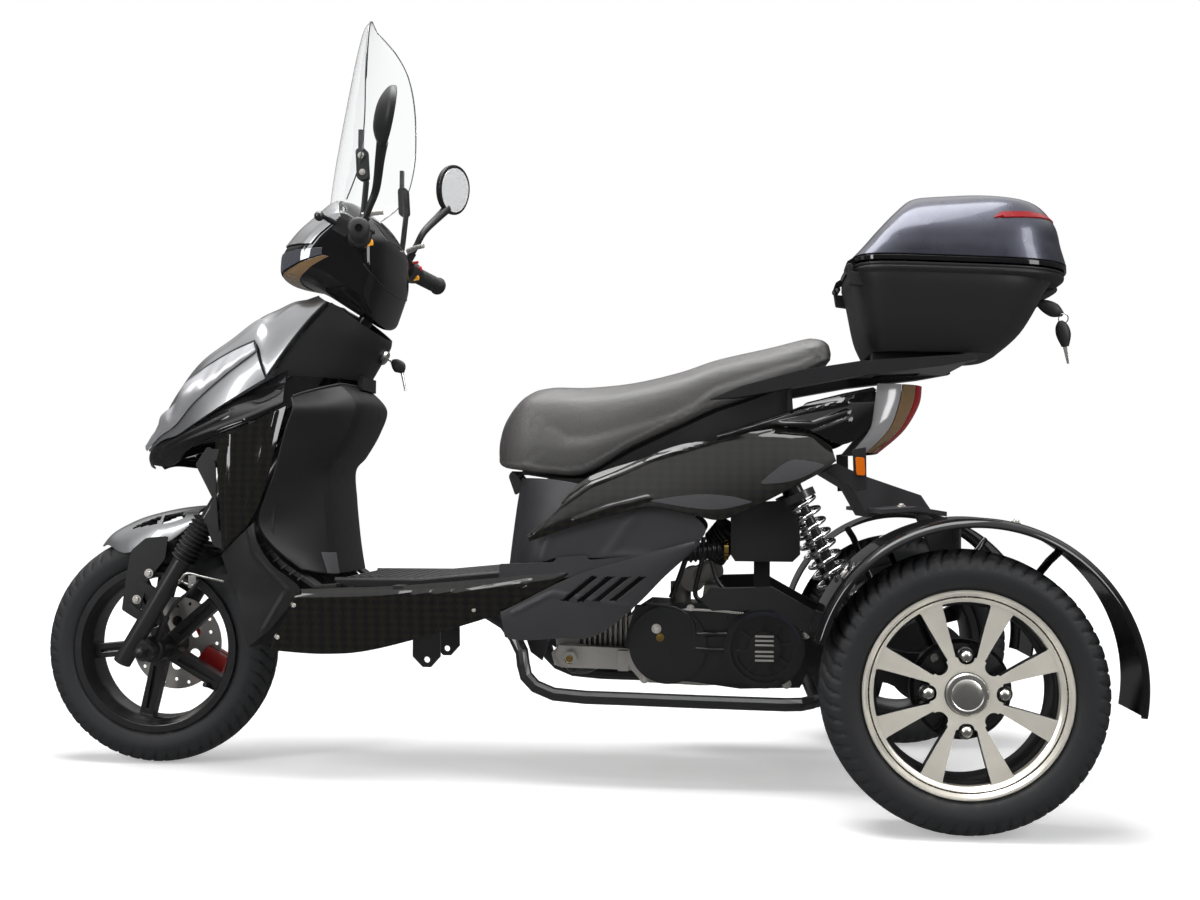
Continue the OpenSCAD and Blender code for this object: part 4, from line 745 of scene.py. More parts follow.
def add_piece(name: str, form: Form, finishes: Finish | list[Finish], body: Body, *replaced: str,
              bevel: float = 0.8, angle: float = 35.0, segments: int = 2) -> bpy.types.Object:
    """Make a piece, dress it and let it ride on its body.

    Args:
        name: the piece's name.
        form: its mesh, in the shared frame, in millimetres.
        finishes: one finish, or one for each tone.
        body: the body that it moves with.
        *replaced: the CAD nodes that it stands for.
        bevel: width of the rounded edges in millimetres, 0 for none.
        angle: edges sharper than this many degrees are rounded, or stay sharp without a bevel.
        segments: faces across each rounded edge.

    Returns:
        The new object.
    """
    finishes = finishes if isinstance(finishes, list) else [finishes]
    mesh = make_mesh(name, form)
    mesh.shade_smooth()
    obj = new_object(name, mesh)
    for finish in finishes:
        mesh.materials.append(finish.material())
    if bevel:
        round_edges(obj, bevel, angle, segments)
    else:
        mesh.set_sharp_from_angle(angle=math.radians(angle))
    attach(obj, body.value)
    if replaced:
        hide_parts(*replaced)
    LOG.info("%s: %d faces", name, len(mesh.polygons))
    return obj


def dress_cad_nodes() -> None:
    """Give each shown CAD node its finish, merged corners and a small rounded edge."""
    for name, finish in CAD_FINISHES.items():
        obj = frame["nodes"][name]
        obj.data.materials.clear()
        obj.data.materials.append(finish.material())
        obj.modifiers.new("weld", "WELD").merge_threshold = 0.00002
        round_edges(obj, 0.9, 40)


# Wheels


@dataclass
class Tyre:
    """Tubeless tyre with a grooved tread, carried on the rim's flanges."""

    width: float
    blocks: int
    slant: float
    groove: float = 4.5
    segments: int = 400

    def profile(self) -> Points:
        """Outside from flange to flange as [radius, distance outwards], drawn as a smooth curve."""
        w = self.width
        half = [[FLANGE_R + 1, 0.40 * w], [FLANGE_R + 9, 0.462 * w], [FLANGE_R + 24, 0.497 * w],
                [TYRE_R - 27, 0.488 * w], [TYRE_R - 13, 0.435 * w], [TYRE_R - 5, 0.33 * w],
                [TYRE_R - 1, 0.16 * w], [TYRE_R, 0.0]]
        right = [[r, -y] for r, y in half[-2::-1]]
        return spline(half + right, 5)

    def form(self) -> Form:
        """Tread depth falls to the groove's floor where a slanted wave or the centre zigzag is low.

        The wave's phase is blocks * angle + slant * |y|, so the grooves lean back from the middle.
        """
        outer = self.profile()
        r, y = outer[:, 0][None], outer[:, 1][None]
        a = np.linspace(0, 2 * np.pi, self.segments, endpoint=False)[:, None]
        share = np.abs(y) / (self.width / 2)
        phase = self.blocks * a / (2 * np.pi) + self.slant * share**1.3 + np.where(y > 0, 0, 0.5)
        gap = np.abs((phase % 1) - 0.5) * 2
        cut = np.clip((gap - 0.70) / 0.10, 0, 1) * np.clip((share - 0.2) / 0.08, 0, 1)
        cut = cut * np.clip((r - (TYRE_R - 30)) / 8, 0, 1)
        zigzag = 0.1 * (np.abs(((self.blocks * a / (2 * np.pi)) % 1) - 0.5) * 4 - 1)
        centre = 1 - np.clip((np.abs(y / (self.width / 2) - zigzag) - 0.035) / 0.03, 0, 1)
        ring = np.clip(1 - np.abs(r - (TYRE_R - 34)) / 2.5, 0, 1) * 0.25
        depth = self.groove * np.maximum(np.maximum(cut, centre * (r > TYRE_R - 4)), ring)
        cut_r = r - depth * np.clip((r - FLANGE_R - 10) / 10, 0, 1)
        half = np.array([
            [FLANGE_R - 12, 0.40], [FLANGE_R - 12, 0.34], [FLANGE_R + 14, 0.36], [TYRE_R - 24, 0.36],
            [TYRE_R - 14, 0]])
        inner = np.concatenate([half * [1, -self.width], half[-2::-1] * [1, self.width]])
        ones = np.ones_like(a)
        radii = np.concatenate([cut_r, inner[None, :, 0] * ones], 1)
        sides = np.concatenate([y * ones, inner[None, :, 1] * ones], 1)
        points = xyz(radii * np.cos(a), sides, radii * np.sin(a))
        return Form.of(points, grid_faces(self.segments, points.shape[1], True, True))


@dataclass
class RearWheel:
    """Machined eight-spoke wheel with open windows, wheel nuts and a plain domed cap."""

    width: float = 150.0
    spokes: int = 8
    face: float = 52.0
    hub_r: float = 47.0
    rim_r: float = 148.0

    def half_share(self, r: Points) -> Points:
        """Spoke's half width over the sector's half width.

        The spoke widens evenly outwards. A window's corners are arcs: its half width is at most
        sqrt(R^2 - (R - d)^2) at the distance d from its inner end, and likewise at its outer end.
        """
        sector = np.pi / self.spokes * r
        width = 7.0 + 11.5 * np.clip((r - 62) / 84, 0, 1)
        inner, outer = np.clip(r - self.hub_r, 0, 13), np.clip(self.rim_r - r, 0, 5)
        half = np.minimum(sector - width, np.sqrt(169 - (13 - inner) ** 2) + (inner >= 13) * 99)
        half = half - (5 - np.sqrt(25 - (5 - outer) ** 2))
        return np.clip(1 - half / sector, 0, 0.998)

    def disc(self) -> Form:
        """Spoked plate on a closed polar grid whose columns follow the spokes' edges.

        Cells between the spokes are left out from the hub's radius to the rim's. The face is
        dished by a half wave along the radius.
        """
        r = np.concatenate([
            [34, 38, 42], self.hub_r + 13 * np.linspace(0, 1, 15) ** 1.6, np.linspace(62, 140, 27),
            self.rim_r - 5 * np.linspace(1, 0, 9) ** 1.6, [self.rim_r + 3]])
        share = self.half_share(r)[:, None]
        spoke = [share * k for k in (-1, -0.85, -0.4, 0, 0.4, 0.85, 1)]
        window = [share + (1 - share) * k for k in (0.5, 1, 1.5)]
        part = np.concatenate(spoke + window, 1)
        sector = 2 * np.pi / self.spokes
        starts = (np.arange(self.spokes) * sector)[None, :, None]
        angles = ((part * sector / 2)[:, None, :] + starts + sector / 2).reshape(len(r), -1)
        dish = self.face - 5 * np.sin(np.clip((r - 34) / (self.rim_r - 34), 0, 1) * np.pi)
        grid = xyz(r[:, None] * np.cos(angles), dish[:, None], r[:, None] * np.sin(angles))
        middle = (r[:-1, None] + r[1:, None]) / 2
        solid = (np.arange(angles.shape[1]) % part.shape[1] < len(spoke) - 1)[None, :]
        keep = solid | (middle < self.hub_r) | (middle > self.rim_r)
        plate = wall(grid, -20 * np.sign(grid_normals(grid)[5, 5, 1]), keep, True)
        return Form(plate.points, plate.faces, (0, 1, 1))

    def form(self) -> Form:
        """Plate, lip, barrel, hub, brake drum, nuts and cap, outwards along +Y from the middle plane."""
        w, f, r, lip = self.width, self.face, FLANGE_R, 0.40 * self.width
        rim = turned([
            [self.rim_r - 1, f - 20], [self.rim_r - 1, f - 1], [self.rim_r, f], [self.rim_r + 2, f + 1],
            [self.rim_r + 4, f + 2.5], [r - 9, lip + 1], [r - 5, lip + 6], [r - 2, lip + 7], [r, lip + 5],
            [r, lip], [r - 12.4, lip], [r - 12.4, f - 20]], segments=192)
        barrel = turned([
            [r - 12.4, f - 20], [r - 12.4, 0.33 * w], [r - 20, 0.24 * w], [r - 20, -0.24 * w],
            [r - 12.4, -0.33 * w], [r - 12.4, -lip], [r, -lip], [r, -lip - 7], [r - 14, -lip - 7],
            [r - 26, -0.24 * w], [r - 26, f - 24], [r - 23, f - 20]], segments=192).toned(1)
        hub = turned([[16, -62], [38, -62], [38, f - 19], [35, f + 1], [16, f + 1]], segments=96).toned(1)
        drum = turned([
            [37, -30], [80, -30], [82, -26], [82, -6], [76, 2], [60, 6], [37, 8]], segments=96).toned(1)
        fins = block([0, 8, 58], [3, 6, 38]).toned(1).spun(16, 0.5)
        studs = bolt([66, 4, 0], SIDE, 5).toned(2).spun(5, 0.3)
        cap = turned([
            [0, f], [34, f], [34, f + 5], [31.5, f + 7.4], [26, f + 8.2], [24.5, f + 7.4], [23, f + 8.2],
            [15, f + 10], [0, f + 10.8]], segments=96).toned(2)
        nut = turned([[0, -18], [10.5, -18], [10.5, -2], [0, -2]], segments=6).joined(turned(
            [[0, -4], [9.5, -4], [9.5, 0], [8.4, 3], [5.5, 5.4], [2.5, 6.4], [0, 6.6]], segments=32)).toned(2)
        seat = turned([[0, -20], [14, -20], [14, -9], [12, -7.5], [0, -7.5]], segments=32).toned(1)
        nuts = nut.joined(seat).shifted(60, f - 2, 0).spun(4)
        return self.disc().joined(rim, barrel, hub, drum, fins, studs, cap, nuts)


@dataclass
class Wheels:
    """The three wheels with their tyres."""

    front_width: float = 110.0
    rear_width: float = 150.0

    def build(self) -> None:
        """Build tyres and rear rims; the front rim and its disc are the CAD solids."""
        front = Tyre(self.front_width, 56, 1.4).form().shifted(*FRONT)
        add_piece("front_tyre_tread", front, TYRE, Body.FRONT_WHEEL, "front_tyre", bevel=0, angle=40)
        tyre, rim = (part.form().shifted(REAR[0], REAR_Y, REAR[2])
                     for part in (Tyre(self.rear_width, 60, 1.1), RearWheel(self.rear_width)))
        for body, word in ((Body.LEFT_WHEEL, "left"), (Body.RIGHT_WHEEL, "right")):
            add_piece(f"rear_{word}_tyre_tread", tyre, TYRE, body, f"rear_{word}_tyre", bevel=0, angle=40)
            add_piece(f"rear_{word}_wheel", rim, [MACHINED, BLACK_ALLOY, ZINC], body, f"rear_{word}_rim",
                      bevel=0, angle=30)
            tyre, rim = tyre.mirrored(), rim.mirrored()
        valve = tube([[-108, 2, -84], [-98, 14, -76], [-94, 26, -73]], 5, 12).shifted(*FRONT)
        add_piece("front_valve", valve, SOFT_RUBBER, Body.FRONT_WHEEL, bevel=0)


# Front body


@dataclass
class Panel:
    """Moulded panel through rows of curves, each [start, end] drawn towards a bulge."""

    starts: Table
    ends: Table
    bulge: tuple[float, float, float]
    thickness: float = -PANEL_T
    steps: int = 10
    count: int = 33
    creases: tuple = ()
    rise: float = 3.2
    foot: float = 6.5
    fold: tuple = ()
    fold_slope: float = 0.4

    def grid(self) -> Points:
        """Smooth rows through the stations, a quadratic curve from start to end each, with its creases.

        Above the fold, a line of [x, z] corners with rising x, the panel leans inwards with an
        even slope.
        """
        a, b = spline(self.starts, self.steps), spline(self.ends, self.steps)
        rows = arc_rows(a, (a + b) / 2 + np.array(self.bulge), b, self.count)
        grid = creased(rows, self.creases, self.rise, self.foot)
        if self.fold:
            x, z = np.array(self.fold, float).T
            above = np.clip(grid[..., 2] - np.interp(grid[..., 0], x, z), 0, 40)
            grid[..., 1] -= self.fold_slope * above
        return grid

    def form(self) -> Form:
        """Closed shell on the grid."""
        return wall(self.grid(), self.thickness)


@dataclass
class FrontBody:
    """Nose, headlamps, black bands, shrouds, lower fairings and leg shield."""

    nose: list = field(default_factory=lambda: [
        # x and height on the middle plane, then x, y and height of the edge
        [29, 378, 26, 20, 374], [19, 419, 12, 44, 404], [-5, 477, -28, 70, 450], [-43, 532, -68, 95, 490],
        [-94, 583, -111, 120, 540], [-157, 628, -171, 130, 577], [-208, 669, -229, 137, 602],
        [-240, 686, -258, 158, 538], [-271, 699, -297, 150, 598], [-300, 702, -336, 142, 650],
        [-323, 704, -365, 132, 683]])
    lens_upper: list = field(default_factory=lambda: [
        [14, 50, 404.4], [-29, 72, 449.4], [-69, 97, 489.4], [-112, 122, 538.4], [-172, 132, 575.4],
        [-229, 139, 600.4]])
    lens_lower: list = field(default_factory=lambda: [
        [12, 60, 394], [-30, 101, 414], [-75, 133, 424], [-120, 156, 447], [-190, 168, 489],
        [-258, 164, 531]])

    def nose_panel(self) -> Form:
        """Rows across the nose, quadratic from the middle plane to the edge, with a ridge to each side.

        The ridge stands where the share of the way to the edge is 0.52, and fades towards the tip.
        """
        s = spline(self.nose, 8)
        mid = xyz(s[:, 0], 0, s[:, 1])
        pull = xyz(s[:, 0] - 8, s[:, 3] * 0.8, s[:, 1])
        grid = arc_rows(mid, pull, s[:, 2:], 41)
        ridge = np.clip(1 - np.abs(np.linspace(0, 1, 41) - 0.52) / 0.1, 0, 1)[None, :, None]
        fade = np.clip(np.linspace(0, 1, len(s)) * 3, 0, 1)[:, None, None]
        grid = grid - 3.0 * ridge * fade * grid_normals(grid)
        trim = tube(spline([r[2:] for r in self.nose[7:]], 8) + [-1.5, 1.5, -1.5], 2.6, 10).toned(1)
        return wall(across(grid), PANEL_T).joined(trim.both_sides())

    def lens_part(self, start: Points, end: Points) -> Points:
        """Part of the grid between the lamp's upper and lower curves.

        Args:
            start: share of the width where each row begins.
            end: share of the width where each row ends.

        Returns:
            Grid whose rows are the full grid's rows, read between the two shares by linear steps.
        """
        grid = Panel(self.lens_upper, self.lens_lower, (4, 8, 4)).grid()
        m, n = grid.shape[:2]
        at = (start[:, None] + (end - start)[:, None] * np.linspace(0, 1, n)) * (n - 1)
        i = np.minimum(at.astype(int), n - 2)
        step = (at - i)[..., None]
        rows = np.arange(m)[:, None]
        return grid[rows, i] * (1 - step) + grid[rows, i + 1] * step

    def lamps(self) -> None:
        """Lens over a ribbed reflector bowl with two round cups, the seal above and the silver sill below."""
        u = np.linspace(0, 1, (len(self.lens_upper) - 1) * Panel.steps + 1)
        lower = 0.86 - 0.6 * u**1.6
        grid = self.lens_part(0 * u, lower)
        lens = wall(grid, -2.5).at(Datum.FRONT).both_sides()
        add_piece("headlamp_lenses", lens, CLEAR_LENS_PAINTED_SHEEN, Body.CHASSIS, "headlamps", bevel=0.5)
        v = np.linspace(-1, 1, grid.shape[1])[None, :]
        u = u[:, None]
        cups = sum(12 * np.exp(-((u - place) / 0.09) ** 2 - (v / 0.7) ** 2) for place in (0.3, 0.56))
        steps = 3 * np.abs((u * 11 + v * 0.5) % 1 - 0.5)
        sink = 5 + (6 + cups + steps) * (1 - v**4) * np.sin(np.clip(u, 0.02, 0.98) * np.pi) ** 0.5
        bowl = wall(grid - grid_normals(grid) * sink[..., None], -1.5)
        sill = wall(self.lens_part(lower + 0.012, 0 * lower + 1), -2.5).toned(2)
        seal = tube(spline(self.lens_upper, 8) + [1.0, 0.5, 4.0], 4.6, 10).toned(1)
        edge = tube(grid[::2, -1] + [0.5, 1.0, 0.5], 1.2, 8).toned(1)
        back = bowl.joined(seal, sill, edge).at(Datum.FRONT).both_sides()
        add_piece(
            "headlamp_bowls", back, [REFLECTOR, MATTE_BLACK, METAL_GREY], Body.CHASSIS, bevel=0, angle=30)

    def bands(self) -> Form:
        """Gloss black band below the lens and the panel, with two long creases."""
        upper = [[24, 22, 371.4], [8, 61, 392.4], [-31, 102, 412.4], [-76, 134, 422.4], [-121, 157, 445.4],
                 [-191, 170, 486.4], [-262, 167, 528.4], [-300, 176, 545]]
        lower = [
            [16, 22, 362], [3, 60, 368], [-40, 95, 364], [-75, 130, 372], [-110, 162, 396],
            [-161, 188, 416], [-240, 204, 444], [-316, 226, 480]]
        lines = ((-40, 400, -198, 462), (-30, 386, -172, 430), (-172, 430, -306, 476))
        return Panel(upper, lower, (4, 6, 0), creases=lines, steps=12, count=33, fold_slope=0.5,
                     fold=((-306, 480), (-198, 458), (-120, 424), (-40, 398))).form()

    def shrouds(self) -> Form:
        """Tall side panels behind the beak, creased along their rear edge."""
        front = [[-173, 194, 408], [-178, 200, 370], [-183, 203, 336], [-187, 205, 298], [-189, 204, 262],
                 [-190, 200, 230], [-189, 196, 200]]
        rear = [[-322, 234, 474], [-312, 238, 430], [-303, 238, 393], [-290, 236, 345], [-276, 232, 300],
                [-252, 224, 258], [-204, 202, 212]]
        lines = ((-300, 462, -284, 380), (-284, 380, -244, 276), (-200, 420, -206, 232))
        return Panel(front, rear, (0, 10, 0), creases=lines).form()

    def fairings(self) -> Form:
        """Lower front panels."""
        front = [[-187, 190, 195.2], [-205, 198, 155], [-221, 204, 130], [-229, 206, 105], [-236, 205, 70],
                 [-244, 200, 24]]
        rear = [[-262, 226, 258.2], [-268, 226, 222], [-296, 220, 178], [-344, 208, 136], [-326, 204, 104],
                [-284, 200, 54]]
        lines = ((-250, 250, -262, 200), (-262, 200, -322, 132), (-322, 132, -276, 56))
        return Panel(front, rear, (0, 8, 0), creases=lines).form()

    def well(self) -> Form:
        """Wall behind the front wheel, joined to the lower panels' front edges."""
        s = spline([
            [24, -262, -246, 199], [70, -262, -238, 203], [105, -262, -231, 204], [130, -262, -223, 202],
            [155, -260, -207, 196], [193, -258, -189, 188], [236, -258, -216, 198]], 4)
        edge = xyz(s[:, 2], s[:, 3], s[:, 0])
        return wall(across(half_rows(s[:, 1], s[:, 0], 120, edge, 21)), PANEL_T)

    def shield_grid(self) -> Points:
        """Inner shield: flat middle, a soft step and the shoulders out to the side, left half."""
        s = spline([
            [-406, 524, -340, 510, -326, 214, 492], [-438, 486, -380, 476, -334, 230, 468],
            [-424, 437, -366, 437, -322, 232, 430], [-396, 388, -352, 388, -312, 232, 390],
            [-374, 359, -342, 350, -300, 230, 345], [-377, 300, -334, 300, -284, 228, 306],
            [-382, 250, -338, 252, -272, 224, 256], [-388, 203, -348, 206, -298, 216, 214],
            [-396, 158, -366, 162, -350, 206, 172]], 10)
        x, z = s[:, 0], s[:, 1]
        middle = half_rows(x, z, 60, xyz(x + 8, 96, z), 12)
        side = arc_rows(xyz(x + 16, 112, z), xyz(s[:, 2], 150, s[:, 3]), s[:, 4:], 28)
        return np.concatenate([middle, side], 1)

    def shield(self) -> Form:
        """Inner shield with its slab to the column cover, its upper rim and a blank plate on the left."""
        grid = self.shield_grid()
        slab = prism([[-418, 518], [-406, 518], [-406, 545], [-418, 545]], -50, 50)
        rows = (grid[:, 14, 2] > 152) & (grid[:, 14, 2] < 202)
        patch = grid[rows][:, 11:19]
        plate = wall(patch - 1.4 * grid_normals(patch), 1.2).toned(1)
        rim = tube(grid[0, ::2] + [0, 1.5, 1.0], 2.2, 10).both_sides().toned(2)
        return wall(across(grid), PANEL_T).joined(slab, plate, rim)

    def column(self) -> Form:
        """Cover round the steering column, from the nose's rear edge round the back."""
        s = spline([
            [682, -374, 127, 622, -456], [640, -340, 138, 606, -454], [590, -300, 146, 574, -436],
            [538, -268, 152, 536, -414]], 8)
        edge = xyz(s[:, 1], s[:, 2], s[:, 0])
        return wall(across(half_rows(s[:, 4], s[:, 3], 110, edge, 24)), PANEL_T)

    def build(self) -> None:
        """Build all the panels in front of the rider."""
        add_piece("nose_panel", self.nose_panel().at(Datum.FRONT), [METAL_GREY, MATTE_BLACK], Body.CHASSIS,
                  "nose_fairing")
        self.lamps()
        inlay = prism(
            rounded([[-132, 366], [-155, 400], [-170, 392], [-174, 300], [-180, 240], [-150, 257],
            [-168, 299]], 4), 184, 187).toned(1)
        filler = prism([
            [-232, 250], [-262, 312], [-296, 312], [-292, 226], [-262, 236], [-236, 216]], 204, 207)
        tongue = prism([[-150, 262], [-190, 262], [-190, 202], [-166, 214]], 178, 181)
        tabs = filler.joined(
            tongue, block([-179, 192, 384], [22, 16, 22]), block([-254, 208, 440], [16, 17, 12]))
        front = self.bands().joined(self.shrouds().toned(2), inlay, tabs.toned(1)).both_sides()
        add_piece(
            "front_black_panels", front.at(Datum.FRONT), [GLOSS_BLACK, MATTE_BLACK, GLOSS_PATTERN],
            Body.CHASSIS, "front_shrouds")
        low = self.fairings().both_sides().joined(self.well()).at(Datum.FRONT)
        add_piece("lower_front_panels", low, MATTE_BLACK, Body.CHASSIS, "lower_fairings")
        add_piece(
            "inner_shield", self.shield().joined(self.column()).at(Datum.FRONT),
            [MATTE_BLACK, BLANK_PLATE, MATTE_GREY], Body.CHASSIS, "leg_shield")


@dataclass
class Handlebar:
    """Cover with its front lamp, bar, grips, levers, switches, mirrors and windscreen."""

    core: tuple[float, float] = (-420.0, 786.0)
    outline: list = field(default_factory=lambda: [
        [-249, 736], [-252, 783], [-288, 828], [-362, 890], [-397, 893], [-445, 857], [-476, 806],
        [-477, 725], [-448, 640], [-390, 676], [-333, 712], [-300, 726]])

    def cover_rings(self) -> Points:
        """Side outline swept across, narrowing towards both rounded ends round one core point."""
        core = np.array(self.core)
        ring = rounded(self.outline, 16, 5)
        s = spline([
            [-155, 0.12], [-154, 0.38], [-150, 0.55], [-140, 0.68], [-95, 0.92], [0, 1.0], [95, 0.92],
            [140, 0.68], [150, 0.55], [154, 0.38], [155, 0.12]], 6)
        flat = core + s[:, 1, None, None] * (ring[None] - core)
        return xyz(flat[..., 0], s[:, 0, None], flat[..., 1])

    def cover_normals(self) -> Points:
        """Unit normals of the cover's rings, turned away from the core."""
        rings = self.cover_rings()
        out = grid_normals(rings)
        return out * np.sign(((rings - [self.core[0], 0, self.core[1]]) * out).sum(-1, keepdims=True))

    def cover(self) -> Form:
        """Closed cover, its visor over the front of the top, and the seam between its halves."""
        rings, out = self.cover_rings(), self.cover_normals()
        columns = slice(11, 24)
        visor = wall((rings + 1.0 * out)[10:-10, columns], 2.4)
        outer = wall((rings + 3.6 * out)[10:-10, columns], -2.4)
        seam = tube((rings + 0.2 * out)[8:-8, 47], 1.2, 8).toned(2)
        return rings_form(rings).joined(outer.toned(1), visor.toned(1), seam)

    def lamp(self) -> Form:
        """Front lamp wrapped round the cover: a smoked pane above a tan strip along its lower edge."""
        rings, out = self.cover_rings(), self.cover_normals()
        pane = wall((rings + 0.8 * out)[5:-5, 3:9], 1).joined(wall((rings + 2.2 * out)[5:-5, 3:9], -1.2))
        order = [70, 71, 0, 1, 2]
        strip = wall((rings + 2.0 * out)[5:-5][:, order], -1.2).joined(wall(
            (rings + 0.6 * out)[5:-5][:, order], 1))
        return pane.joined(strip.toned(1))

    def bar_points(self) -> tuple[Points, Points, Points]:
        """Inner and outer end of the left grip and its direction, in the fork's frame."""
        inner, outer = np.array([12, 222, 914.0]), np.array([-20, 340, 921.0])
        return inner, outer, (outer - inner) / np.linalg.norm(outer - inner)

    def bar(self) -> Form:
        """Tube from grip to grip through the clamp."""
        inner, outer, way = self.bar_points()
        half = np.array([outer - 4 * way, inner - 64 * way, [24, 126, 903], [16, 90, 894], [8, 44, 889]])
        path = np.concatenate([half, half[::-1] * [1, -1, 1]])
        return tube(path, 11, 20)

    def grip(self) -> Form:
        """Rubber grip: ribs along its length come from a wave in its radius."""
        inner, outer, way = self.bar_points()
        length = np.linalg.norm(outer - inner)
        t = np.linspace(0, length, 90)
        r = 17 + 0.5 * np.sign(np.sin(t * 0.9)) * (t > 14) * (t < length - 12)
        r = np.where(t < 5, 21, np.where(t > length - 6, 20 - (t - length + 6) ** 2 * 0.12, r))
        profile = np.concatenate([
            np.stack([r, t], -1), [[7, length + 1], [7, length - 4], [0, length - 4], [0, 0]]])
        return turned(profile, inner, way, 40)

    def switches(self) -> Form:
        """Buttons on the switch housings, cable adjusters at the perches and the screen's clamps."""
        places = (([-468, -208, 802], 6, 0), ([-464, -200, 781], 5.5, 1), ([-466, -186, 812], 3, 0),
                  ([-466, 196, 784], 6, 1), ([-466, 184, 806], 5, 3))
        buttons = [
            turned([[0, -6], [r, -6], [r, 5], [r - 1.5, 6.5], [0, 7]], place, [-1, 0, 0.15], 24).toned(tone)
            for place, r, tone in places]
        adjuster = tube([[-448, 186, 836], [-466, 180, 843], [-486, 174, 846]], [7, 5, 5], 12).toned(2)
        plate = rounded([[-456, 908], [-434, 908], [-431, 969], [-452, 969]], 9, 5)
        clamp = prism(plate, 158, 176).toned(3)
        heads = bolt([-445, 176, 923], SIDE, 4).joined(bolt([-442, 176, 955], SIDE, 4)).toned(2)
        return Form.joined(*buttons, adjuster.both_sides(), clamp.joined(heads).both_sides())

    def mirror_heads(self) -> Form:
        """Teardrop shells: rings across the head's thickness that shrink to its back."""
        a = np.linspace(0, 2 * np.pi, 64, endpoint=False)
        s = spline([[-10, 0.93], [-8, 1.0], [2, 0.95], [11, 0.72], [17, 0.42], [19, 0.06]], 5)
        drop = 1 + 0.1 * np.sin(a) - 0.1 * np.cos(2 * a)
        y, z = 66 * np.cos(a) * drop, 50 * np.sin(a) * drop
        head = rings_form(xyz(s[:, 0, None], s[:, 1, None] * y, s[:, 1, None] * z))
        glass = rings_form(xyz(np.array([[-10.4], [-8.9]]), 0.88 * y, 0.88 * z)).toned(1)
        turn = Matrix.Rotation(math.radians(22), 4, "Z")
        lean = Matrix.Rotation(math.radians(-8), 4, "Y")
        return head.joined(glass).moved(Matrix.Translation((-519, 300, 990)) @ turn @ lean)

    def screen_grid(self) -> Points:
        """Windscreen rows across: quadratic curves that sweep back to the edges."""
        s = spline([
            [884, -340, 120, -400], [940, -352, 176, -440], [1017, -370, 204, -456],
            [1100, -390, 208, -458], [1165, -404, 192, -456], [1212, -414, 158, -450],
            [1236, -420, 104, -441], [1246, -423, 56, -432], [1250, -424, 8, -425]], 6)
        edge = xyz(s[:, 3], s[:, 2], s[:, 0])
        return across(half_rows(s[:, 1], s[:, 0], s[:, 2] * 0.75, edge, 24))

    def screen_rim(self) -> Form:
        """Polished edge of the screen: a thin tube round the grid's outside."""
        grid = self.screen_grid()
        path = np.concatenate([grid[:, 0], grid[-1, 1:], grid[-2::-1, -1]]) + [0.5, 0, 0]
        return tube(path, 1.3, 8)

    def build(self) -> None:
        """Build everything that turns with the bar."""
        add_piece(
            "bar_cover", self.cover().at(Datum.FRONT), [GLOSS_BLACK, METAL_GREY, MATTE_BLACK],
            Body.STEERING, "headset_cover", bevel=1.0)
        add_piece(
            "cover_lamp", self.lamp().at(Datum.FRONT), [SMOKE_LENS, TAN_LENS], Body.STEERING,
            "headset_lamp")
        add_piece("bar_tube", self.bar().at(Datum.FORK), SATIN_STEEL, Body.STEERING, "handlebar", bevel=0)
        grips = self.grip().at(Datum.FORK).both_sides()
        add_piece("ribbed_grips", grips, SOFT_RUBBER, Body.STEERING, "grips", bevel=0)
        add_piece(
            "bar_switches", self.switches().at(Datum.FRONT),
            [RED_BUTTON, AMBER_BUTTON, RAW_ALLOY, MATTE_BLACK], Body.STEERING, bevel=0.4)
        perch = np.array([18, 234, 954]) - 43 * self.bar_points()[2]
        base = Datum.FORK.place(perch) - FRONT
        stem = spline([
            base + [0, 0, 0.6], base + [-8, 4, 18],
            [-480, 206, 884], [-500, 258, 926], [-512, 288, 950]], 8)
        swell = 6.5 + 4.5 * np.linspace(0, 1, len(stem)) ** 2
        mirrors = tube(stem, swell, 16).joined(self.mirror_heads()).at(Datum.FRONT).both_sides()
        add_piece("mirror_pair", mirrors, [MATTE_BLACK, MIRROR_PAINTED_REFLECTION], Body.STEERING, "mirrors", bevel=0.6)
        screen = wall(self.screen_grid(), 3).at(Datum.FRONT)
        add_piece("clear_windscreen", screen, SCREEN, Body.STEERING, "windscreen", bevel=0.8)
        add_piece("screen_edge", self.screen_rim().at(Datum.FRONT), SMOKE_LENS, Body.STEERING, bevel=0)


